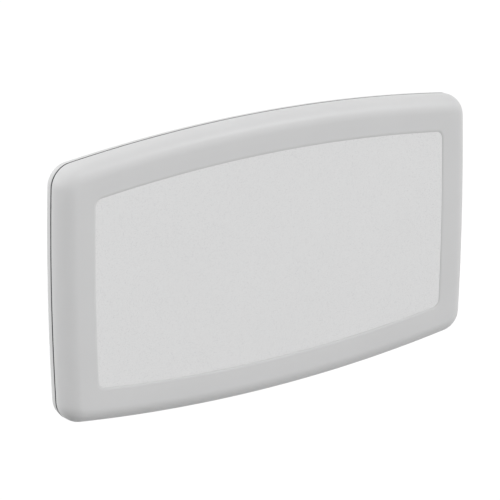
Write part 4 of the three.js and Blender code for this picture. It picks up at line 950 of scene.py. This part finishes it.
def makeLinerDoors():
    size = linerDoor
    front = station["fieldY"]
    width, height = (side - 2 * size["room"] for side in wallHousing["window"])
    corner = wallHousing["windowCorner"] - size["room"]
    piece = pulled("linerDoorRight", roundedBox(linerX, linerZ, width, height, corner), "y",
                   front, front + size["thickness"])
    softenEdges(piece, size["edge"], 3)
    slotWidth, slotHeight = size["slot"]
    rings = []
    for grow, level in ((2.2, -0.8), (1.0, 0.0), (0.45, 0.25), (0.12, 0.65), (0.0, 1.2), (0.0, 4.0)):
        more = 2 * grow * size["slotLip"]
        shape = roundedBox(linerX, linerZ + size["slotRise"], slotWidth + more, slotHeight + more,
                           (slotHeight + more) / 2 - 1e-5, 14)
        rings.append([(x, front + level * 0.001, z) for x, z in shape])
    carve(piece, ringLoft("slot", rings))
    notch = [(size["notch"], -0.001), (size["notch"], 0.005)]
    carve(piece, turned("notch", "y", (linerX, front, linerZ + height / 2), notch, 48))
    half, centre = width / 2 - corner - size["room"], (linerX, *doorPivot)
    barrel, pivot = size["barrel"], size["pivot"]
    weld(piece, turned("barrel", "x", centre, [
        (barrel - 0.0005, -half), (barrel, 0.0005 - half), (barrel, half - 0.0005), (barrel - 0.0005, half)], 28))
    reach = wallHousing["window"][0] / 2 + wallHousing["lug"] - 0.0013
    weld(piece, turned("pivot", "x", centre, [(pivot, -reach), (pivot, reach)], 20))
    twin = copied(piece, "linerDoorLeft", (-2 * linerX, 0, 0))
    dress(piece, "liner_door_right", "pale_plastic", "liner_door_right")
    dress(twin, "liner_door_left", "pale_plastic", "liner_door_left")


makeLinerBins()
makeLinerDoors()
print("liner dispensers made")

# wall: bag hooks, each with its screw
bagHook = {"z": 0.080, "width": 0.024, "plate": 0.046, "reach": 0.017, "thickness": 0.004, "tip": 0.017, "soft": 0.0012}
hookX = (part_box("bag_hook_right")[0].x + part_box("bag_hook_right")[1].x) / 2


def crossHead(radius, rise, depth, y, x, z, name, tail):
    profile = [(radius * 0.5, tail), (radius * 0.5, 0), (radius, 0), (radius, -rise * 0.35),
               (radius * 0.82, -rise * 0.8), (radius * 0.5, -rise)]
    piece = turned(name, "y", (x, y, z), profile, 28)
    wide, long = radius * 0.11, radius * 0.62
    for a, b in ((wide, long), (long, wide)):
        carve(piece, block("cross", (x - a, y - rise - 0.001, z - b), (x + a, y - rise + depth, z + b)))
    return piece


def makeBagHooks():
    size = bagHook
    thick, low = size["thickness"], -size["plate"] / 2
    inner = (size["reach"] - thick) / 2
    half = math.pi
    shape = [(0, low + thick), (0, size["plate"] / 2), (-thick, size["plate"] / 2)]
    shape += arc(-thick - inner, low + thick + inner, inner, 0, -half, 18) + [(-thick - 2 * inner, low + thick + inner)]
    shape += arc(-1.5 * thick - 2 * inner, low + size["tip"], thick / 2, 0, half, 10)
    shape += [(-2 * thick - 2 * inner, low + size["tip"])]
    shape += arc(-thick - inner, low + thick + inner, inner + thick, half, 1.5 * half, 12)
    shape += [(-thick - inner, low)]
    shape += arc(-thick, low + thick, thick, 1.5 * half, 2 * half, 8)
    backY = station["fieldY"] - gap
    piece = pulled("bagHookRight", [(backY + y, size["z"] + z) for y, z in shape], "x",
                   hookX - size["width"] / 2, hookX + size["width"] / 2)
    softenEdges(piece, size["soft"], 3)
    twin = copied(piece, "bagHookLeft", (-2 * hookX, 0, 0))
    dress(piece, "wall_unit", "pale_plastic", "bag_hook_right")
    dress(twin, "wall_unit", "pale_plastic", "bag_hook_left")
    screw = crossHead(0.0038, 0.0018, 0.0012, backY - thick, hookX, size["z"] + 0.011, "hookScrewRight", 0.003)
    other = copied(screw, "hookScrewLeft", (-2 * hookX, 0, 0))
    dress(screw, "wall_unit", "steel")
    dress(other, "wall_unit", "steel")


makeBagHooks()
print("hooks made")

# wall: rubber bumpers and housing screws; bed: countersunk tray screws
bumper = {"radius": 0.007, "head": 0.0016, "stem": 0.003, "stemLength": 0.006}
housingScrew = {"head": 0.005, "crown": 0.0024, "shaft": 0.0024, "recess": 0.0014}
trayScrew = {"head": 0.0038, "shaft": 0.0016, "length": 0.020, "recess": 0.0012}


def spreadCopies(first, names, seats, body, slot, nodes):
    start = seats[0]
    for name, seat, node in list(zip(names, seats, nodes))[1:]:
        offset = (seat.x - start.x, 0, seat.z - start.z)
        dress(copied(first, name, offset), body, slot, node)
    dress(first, body, slot, nodes[0])


def makeBumpers():
    size = bumper
    head, radius, stem = size["head"], size["radius"], size["stem"]
    profile = [(stem - 0.0006, size["stemLength"]), (stem, size["stemLength"] - 0.0006), (stem, 0), (radius, 0),
               (radius, -head * 0.4), (radius - head * 0.15, -head * 0.75), (radius - head * 0.6, -head),
               (radius * 0.45, -head), (radius * 0.4, -head * 0.7), (radius * 0.15, -head * 0.65)]
    first = turned("bumper1", "y", (bumperSeats[0].x, station["flangeY"] - gap, bumperSeats[0].z), profile, 32)
    spreadCopies(first, [f"bumper{i}" for i in range(1, 5)], bumperSeats, "wall_unit", "rubber",
                 [f"bumper_{i}" for i in range(1, 5)])


def makeHousingScrews():
    size = housingScrew
    seat, y = housingSeats[0], station["fieldY"] - gap
    head, crown, shaft = size["head"], size["crown"], size["shaft"]
    end = -station["fieldY"] - gap
    first = turned("housingScrew1", "y", (seat.x, y, seat.z), [
        (shaft - 0.0008, end), (shaft, end - 0.001), (shaft, 0), (head, 0), (head, -crown * 0.3),
        (head * 0.93, -crown * 0.55), (head * 0.76, -crown * 0.82), (head * 0.45, -crown)], 32)
    for wide, long in ((head * 0.1, head * 0.6), (head * 0.6, head * 0.1)):
        carve(first, block("cross", (seat.x - wide, y - 0.005, seat.z - long),
                           (seat.x + wide, y - crown + size["recess"], seat.z + long)))
    spreadCopies(first, [f"housingScrew{i}" for i in range(1, 5)], housingSeats, "wall_unit", "steel",
                 [f"housing_screw_{i}" for i in range(1, 5)])


def makeTrayScrews():
    size = trayScrew
    seat, y = traySeats[0], station["rimY"]
    head, shaft = size["head"], size["shaft"]
    first = turned("trayScrew1", "y", (seat.x, y, seat.z), [
        (shaft * 0.4, -size["length"]), (shaft, -size["length"] + 0.0015), (shaft, shaft - head),
        (head, -0.0002), (head - 0.0002, 0)], 28)
    for wide, long in ((head * 0.1, head * 0.58), (head * 0.58, head * 0.1)):
        carve(first, block("cross", (seat.x - wide, y - size["recess"], seat.z - long),
                           (seat.x + wide, y + 0.001, seat.z + long)))
    spreadCopies(first, [f"trayScrew{i}" for i in range(1, 9)], traySeats, "bed", "steel",
                 [f"tray_screw_{i}" for i in range(1, 9)])


makeBumpers()
makeHousingScrews()
makeTrayScrews()
print("bumpers and screws made")

# bed: woven strap in two halves, cut straight and laid over the tray
strap = {
    "width": 0.038, "thickness": 0.0014, "edge": 0.0005, "turn": 0.012, "ramp": 0.016, "tail": 0.046, "step": 0.0025,
    "under": 0.0066, "slope": 18.85,
}
stitching = {
    "length": 0.0027, "width": 0.0007, "rise": 0.0004, "sunk": 0.0003, "pitch": 0.0040, "margin": 0.0045,
    "box": 0.026, "fromEnd": 0.036, "hem": (0.0035, 0.0095),
}
buckle = {
    "z": -0.040, "length": 0.044, "wall": 0.002, "cheek": 0.0095, "play": 0.001, "pin": 0.0018, "cam": 0.0042,
    "lever": 0.025, "leverThickness": 0.0026, "tip": 0.0015,
}
strapLift = gap + strap["thickness"] / 2
buckleBaseY = trayFloorY + strap["thickness"] + 3 * gap
strapOverY = buckleBaseY + buckle["wall"] + strapLift
buckleTop, buckleLow = buckle["z"] + buckle["length"] / 2, buckle["z"] - buckle["length"] / 2
camY = strapOverY + strap["thickness"] / 2 + gap + buckle["cam"]


def traySurface(z):
    share = (station["height"] / 2 - abs(z) - bedTray["rim"]) / bedTray["run"]
    return station["rimY"] - trayDepth(min(max(share, 0), 1))


def overTray(start, end, lift):
    steps = max(2, round(abs(start - end) / 0.006))
    heights = [start + (end - start) * i / steps for i in range(steps + 1)]
    return [(traySurface(z) + lift, z) for z in heights]


def strapEnd():
    slope = math.radians(strap["slope"])
    surfaceY = traySurface(strapSlotZ)
    inside = (surfaceY - math.cos(slope) * strap["under"], strapSlotZ + math.sin(slope) * strap["under"])
    end = (inside[0] + math.sin(slope) * strap["turn"], inside[1] + math.cos(slope) * strap["turn"])
    lift = strapLift + gap
    return [end, inside, (surfaceY + math.cos(slope) * lift, strapSlotZ - math.sin(slope) * lift)]


# corners are cut three times, so that the band bends without creases
def smoothPath(points):
    for _ in range(3):
        cutPoints = [points[0]]
        for (y0, z0), (y1, z1) in zip(points, points[1:]):
            cutPoints += [(0.75 * y0 + 0.25 * y1, 0.75 * z0 + 0.25 * z1), (0.25 * y0 + 0.75 * y1, 0.25 * z0 + 0.75 * z1)]
        points = cutPoints + [points[-1]]
    return points


def evenPath(points, step):
    lengths = [0.0]
    for before, after in zip(points, points[1:]):
        lengths.append(lengths[-1] + math.dist(before, after))
    count = round(lengths[-1] / step)
    even, index = [], 0
    for i in range(count + 1):
        wanted = lengths[-1] * i / count
        while index < len(points) - 2 and lengths[index + 1] < wanted:
            index += 1
        share = (wanted - lengths[index]) / max(lengths[index + 1] - lengths[index], 1e-9)
        even.append(tuple(a + (b - a) * share for a, b in zip(points[index], points[index + 1])))
    return even, lengths[-1]


# a place on the band's upper face: how far along it, how far across, and how high above
def bandPlace(path, length, along, across, rise):
    share = min(max(along / length, 0.0), 1.0) * (len(path) - 1)
    index = min(int(share), len(path) - 2)
    (y0, z0), (y1, z1) = path[index], path[index + 1]
    way = Vector((y1 - y0, z1 - z0)).normalized()
    y, z = y0 + (y1 - y0) * (share - index), z0 + (z1 - z0) * (share - index)
    lift = strap["thickness"] / 2 + rise
    return Vector((across, y - way.y * lift, z + way.x * lift))


def stitchRow(start, end):
    count = max(1, round(math.dist(start, end) / stitching["pitch"]))
    half = (Vector(end) - Vector(start)).normalized() * stitching["length"] / 2
    for i in range(count):
        middle = Vector(start).lerp(Vector(end), (i + 0.5) / count)
        yield middle - half, middle + half


# each stitch is a small rounded bar lying on the band
def makeStitching(name, path, length, rows):
    size = stitching
    bars = []
    for start, end in rows:
        for first, last in stitchRow(start, end):
            aside = Vector((last.y - first.y, first.x - last.x)).normalized() * size["width"] / 2
            rings = []
            for share, full in ((0.0, 0.35), (0.2, 1.0), (0.8, 1.0), (1.0, 0.35)):
                spot = first.lerp(last, share)
                corners = [(1, -size["sunk"]), (0.7, size["rise"] * full), (-0.7, size["rise"] * full), (-1, -size["sunk"])]
                rings.append([bandPlace(path, length, spot.x + aside.x * part * full, spot.y + aside.y * part * full, rise)
                              for part, rise in corners])
            bars.append(ringLoft("stitch", rings))
    deselectAll()
    for bar in bars:
        bar.select_set(True)
    bpy.context.view_layer.objects.active = bars[0]
    bpy.ops.object.join()
    piece = bpy.context.object
    piece.name = name
    piece.data.name = name
    dress(piece, "bed", "webbing", smooth=60)
    piece.data.materials[0] = threadFinish
    return piece


# box and cross where the band is sewn back to itself behind the slot
def boxRows(near, far):
    side = strap["width"] / 2 - stitching["margin"]
    a, b, c, d = (near, -side), (near, side), (far, side), (far, -side)
    return [(a, b), (b, c), (c, d), (d, a), (a, c), (b, d)]


def makeBand(name, points, node, rows):
    path, length = evenPath(smoothPath(points), strap["step"])
    half, thick, edge = strap["width"] / 2, strap["thickness"] / 2, strap["edge"]
    across = [-half + edge + (2 * half - 2 * edge) * i / 8 for i in range(9)]
    section = [(x, thick) for x in across] + [(half - edge * 0.3, thick - edge * 0.3), (half, 0)]
    section += [(half - edge * 0.3, edge * 0.3 - thick)] + [(x, -thick) for x in reversed(across)]
    section += [(edge * 0.3 - half, edge * 0.3 - thick), (-half, 0), (edge * 0.3 - half, thick - edge * 0.3)]
    rings = []
    for i, (y, z) in enumerate(path):
        before, after = path[max(i - 1, 0)], path[min(i + 1, len(path) - 1)]
        way = Vector((after[0] - before[0], after[1] - before[1])).normalized()
        rings.append([(x, y - way.y * rise, z + way.x * rise) for x, rise in section])
    piece = ringLoft(name, rings, keepLevel=True)
    levels = [entry.value for entry in piece.data.attributes["level"].data]
    piece.data.uv_layers.remove(piece.data.uv_layers[0])  # the circle's own map
    band = piece.data.uv_layers.new(name="band")
    for loop in piece.data.loops:
        place = piece.data.vertices[loop.vertex_index].co.x
        band.data[loop.index].uv = (place, length * levels[loop.vertex_index] / (len(path) - 1))
    piece.data.attributes.remove(piece.data.attributes["level"])
    dress(piece, "bed", "webbing", node, smooth=50)
    thread = makeStitching(name + "Stitching", path, length, rows(length))
    print(name, "is", round(length, 4), "m long")
    return piece


def upperRows(length):
    rows = boxRows(stitching["fromEnd"], stitching["fromEnd"] + stitching["box"])
    side = strap["width"] / 2 - stitching["margin"]
    return rows + [((length - back, -side), (length - back, side)) for back in stitching["hem"]]


def lowerRows(length):
    return boxRows(length - stitching["fromEnd"] - stitching["box"], length - stitching["fromEnd"])


def makeStraps():
    mouthZ = strapSlotZ - bedTray["strapSlot"][1]
    ride = strapLift + gap / 2
    upper = strapEnd() + overTray(mouthZ, buckleTop + strap["ramp"], ride)
    upper += [(strapOverY, buckleTop + strap["thickness"]), (strapOverY, buckle["z"]),
              (strapOverY, buckleLow - strap["thickness"])]
    upper += overTray(buckleLow - strap["ramp"], buckleLow - strap["tail"], ride + strap["thickness"] + gap)
    makeBand("strapUpper", upper, "strap_upper", upperRows)
    lower = overTray(buckleTop - buckle["length"] / 4, -mouthZ, strapLift)
    lower += [(y, -z) for y, z in reversed(strapEnd())]
    makeBand("strapLower", lower, "strap_lower", lowerRows)


# bed: cam buckle with its base, cheeks, pin and thumb lever
def makeBuckle():
    size = buckle
    inner = strap["width"] / 2 + size["play"]
    outer, top = inner + size["wall"], buckleBaseY + size["wall"] + size["cheek"]
    frameBase = pulled("buckleFrame", roundedBox(0, size["z"], 2 * outer, size["length"], 0.002, 5), "y",
                       buckleBaseY, buckleBaseY + size["wall"])
    softenEdges(frameBase, 0.0004)
    quarter = math.pi / 2
    cheek = [(buckleBaseY + 0.0005, buckleTop - 0.0005), (buckleBaseY + 0.0005, buckleLow + 0.0005)]
    cheek += [(top - 0.006, buckleLow + 0.0005)] + arc(top - 0.006, buckleLow + 0.0065, 0.006, -quarter, 0, 8)[1:]
    cheek += [(top, buckleLow + 0.0065), (top, buckleTop - 0.0065)]
    cheek += arc(top - 0.006, buckleTop - 0.0065, 0.006, 0, quarter, 8)[1:] + [(top - 0.006, buckleTop - 0.0005)]
    for side in (-1, 1):
        low, high = sorted((side * inner, side * outer))
        weld(frameBase, softenEdges(pulled("cheek", cheek, "x", low, high), 0.0003))
    bore = size["pin"] + gap
    carve(frameBase, turned("pinHole", "x", (0, camY, size["z"]), [(bore, -0.05), (bore, 0.05)], 24))
    dress(frameBase, "bed", "dark_plastic", "buckle_frame")
    reach, pin = outer + gap, size["pin"]
    ends = [(pin * 0.6, -reach - 0.001), (pin + 0.0007, -reach - 0.0007), (pin + 0.001, -reach), (pin, -reach)]
    ends += [(radius, -level) for radius, level in reversed(ends)]
    dress(turned("bucklePin", "x", (0, camY, size["z"]), ends, 24), "bed", "steel", "buckle_pin")
    half, cam, long = strap["width"] / 2, size["cam"], size["lever"]
    rise, tip = cam - size["leverThickness"], size["tip"]
    grips = [(cam - 0.0003, 0.0005), (cam, -0.010)]
    for i in range(5):
        z = -0.0108 - 0.0023 * i
        grips += [(cam, z), (cam + 0.0006, z - 0.0004), (cam + 0.0006, z - 0.0009), (cam, z - 0.0013)]
    lever = grips + [(cam, 0.0015 - long), (cam + tip * 0.7, -long), (rise + tip, -long), (rise, 0.002 - long),
                     (rise, 0.0005)]
    piece = turned("buckleCam", "x", (0, camY, size["z"]), [
        (cam - 0.0004, -half), (cam, 0.0004 - half), (cam, half - 0.0004), (cam - 0.0004, half)], 40)
    slim = [point for i, point in enumerate(lever) if i == 0 or math.dist(point, lever[i - 1]) > 1e-6]
    weld(piece, pulled("thumbLever", [(camY + y, size["z"] + z) for y, z in slim], "x", 0.0003 - half, half - 0.0003))
    carve(piece, turned("bore", "x", (0, camY, size["z"]), [(bore, -0.05), (bore, 0.05)], 24))
    dress(piece, "buckle_cam", "dark_plastic", "buckle_cam")


makeBuckle()
makeStraps()
print("straps and buckle made")

# every CAD node that stays in view gets its finish
nodeSlots = {
    "steel": ("mounting_chassis", "hinge_", "spring_", "housing_screw", "lift_lever", "strap_anchor",
              "bed_channel", "buckle_pin", "tray_screw"),
    "black_steel": ("gas_cylinder",), "chrome": ("gas_rod",),
    "pale_plastic": ("liner_", "bag_hook"), "rubber": ("bumper",),
    "webbing": ("strap_upper", "strap_lower"), "dark_plastic": ("buckle_frame", "buckle_cam"),
}
for slot, starts in nodeSlots.items():
    for name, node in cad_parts.items():
        if name.startswith(starts):
            node.data.materials.clear()
            node.data.materials.append(finishes[slot])

# studio: white ground and air for the camera, calmer light on the object
studio = {
    "floorZ": -1.1, "floorSize": 120.0, "floorAlbedo": 0.08, "ambient": 0.58,
    "key": {"towards": (0.19, -0.88, 0.03), "share": 1.0, "angle": 35, "glossy": False},
    "side": {"towards": (-0.87, 0.43, 0.22), "share": 0.93, "angle": 50, "glossy": False},
    "top": {"towards": (0.10, 0.45, 0.88), "share": 0.27, "angle": 50, "glossy": False},
    "glint": {"towards": (0.56, -0.58, 0.58), "share": 0.13, "angle": 14, "glossy": True},
}


def seenDirectly(tree):
    path = addNode(tree, "ShaderNodeLightPath")
    first = addNode(tree, "ShaderNodeMath", operation="MAXIMUM")
    second = addNode(tree, "ShaderNodeMath", operation="MAXIMUM")
    tree.links.new(path.outputs["Is Camera Ray"], first.inputs[0])
    tree.links.new(path.outputs["Is Glossy Ray"], first.inputs[1])
    tree.links.new(first.outputs["Value"], second.inputs[0])
    tree.links.new(path.outputs["Is Transmission Ray"], second.inputs[1])
    return second.outputs["Value"]


def makeWorld():
    world = bpy.data.worlds.new("studioAir")
    scene.world = world
    world.use_nodes = True
    tree = world.node_tree
    background = tree.nodes["Background"]
    background.inputs["Color"].default_value = (1, 1, 1, 1)
    strength = addRange(tree, seenDirectly(tree), studio["ambient"], 1.0)
    tree.links.new(strength, background.inputs["Strength"])


def makeFloor():
    deselectAll()
    bpy.ops.mesh.primitive_plane_add(size=studio["floorSize"], location=(0, 0, studio["floorZ"]))
    bpy.ops.object.transform_apply(location=True, rotation=True, scale=True)
    floor = bpy.context.object
    floor.name = "studioFloor"
    material = bpy.data.materials.new("studioFloor")
    material.use_nodes = True
    tree = material.node_tree
    tree.nodes.remove(tree.nodes["Principled BSDF"])
    seen = seenDirectly(tree)
    paper = addNode(tree, "ShaderNodeBsdfDiffuse")
    tone = addRange(tree, seen, studio["floorAlbedo"], 1.0)
    tree.links.new(tone, paper.inputs["Color"])
    glow = addNode(tree, "ShaderNodeEmission", {"Strength": 1.0})
    share = addRange(tree, seen, 0.0, 0.8)
    mix = addNode(tree, "ShaderNodeMixShader")
    tree.links.new(share, mix.inputs["Fac"])
    tree.links.new(paper.outputs["BSDF"], mix.inputs[1])
    tree.links.new(glow.outputs["Emission"], mix.inputs[2])
    tree.links.new(mix.outputs["Shader"], tree.nodes["Material Output"].inputs["Surface"])
    floor.data.materials.append(material)


def makeLamp(name, towards, share, angle, glossy):
    deselectAll()
    bpy.ops.object.light_add(type="SUN", location=Vector(towards) * 4)
    lamp = bpy.context.object
    lamp.name = name
    lamp.rotation_euler = Vector(towards).to_track_quat("Z", "Y").to_euler()
    lamp.data.energy = share * math.pi
    lamp.data.angle = math.radians(angle)
    lamp.visible_glossy = glossy


makeWorld()
makeFloor()
for name in ("key", "side", "top", "glint"):
    makeLamp(name + "Lamp", **studio[name])

# camera fitted to the outline's edges and corners
camera = {
    "azimuth": -36.4204, "elevation": 17.32113, "distance": 5.03066, "lens": 196.0,
    "target": (-0.05713, -0.09514, 0.02049),
}


def makeCamera():
    azimuth, elevation = math.radians(camera["azimuth"]), math.radians(camera["elevation"])
    back = Vector((math.sin(azimuth) * math.cos(elevation), -math.cos(azimuth) * math.cos(elevation),
                   math.sin(elevation)))
    deselectAll()
    bpy.ops.object.camera_add(location=Vector(camera["target"]) + back * camera["distance"])
    view = bpy.context.object
    view.name = "photoCamera"
    view.rotation_euler = back.to_track_quat("Z", "Y").to_euler()
    view.data.sensor_width = 36.0
    view.data.lens = camera["lens"]
    view.data.clip_end = 200.0
    scene.camera = view


makeCamera()
print("studio and camera ready")
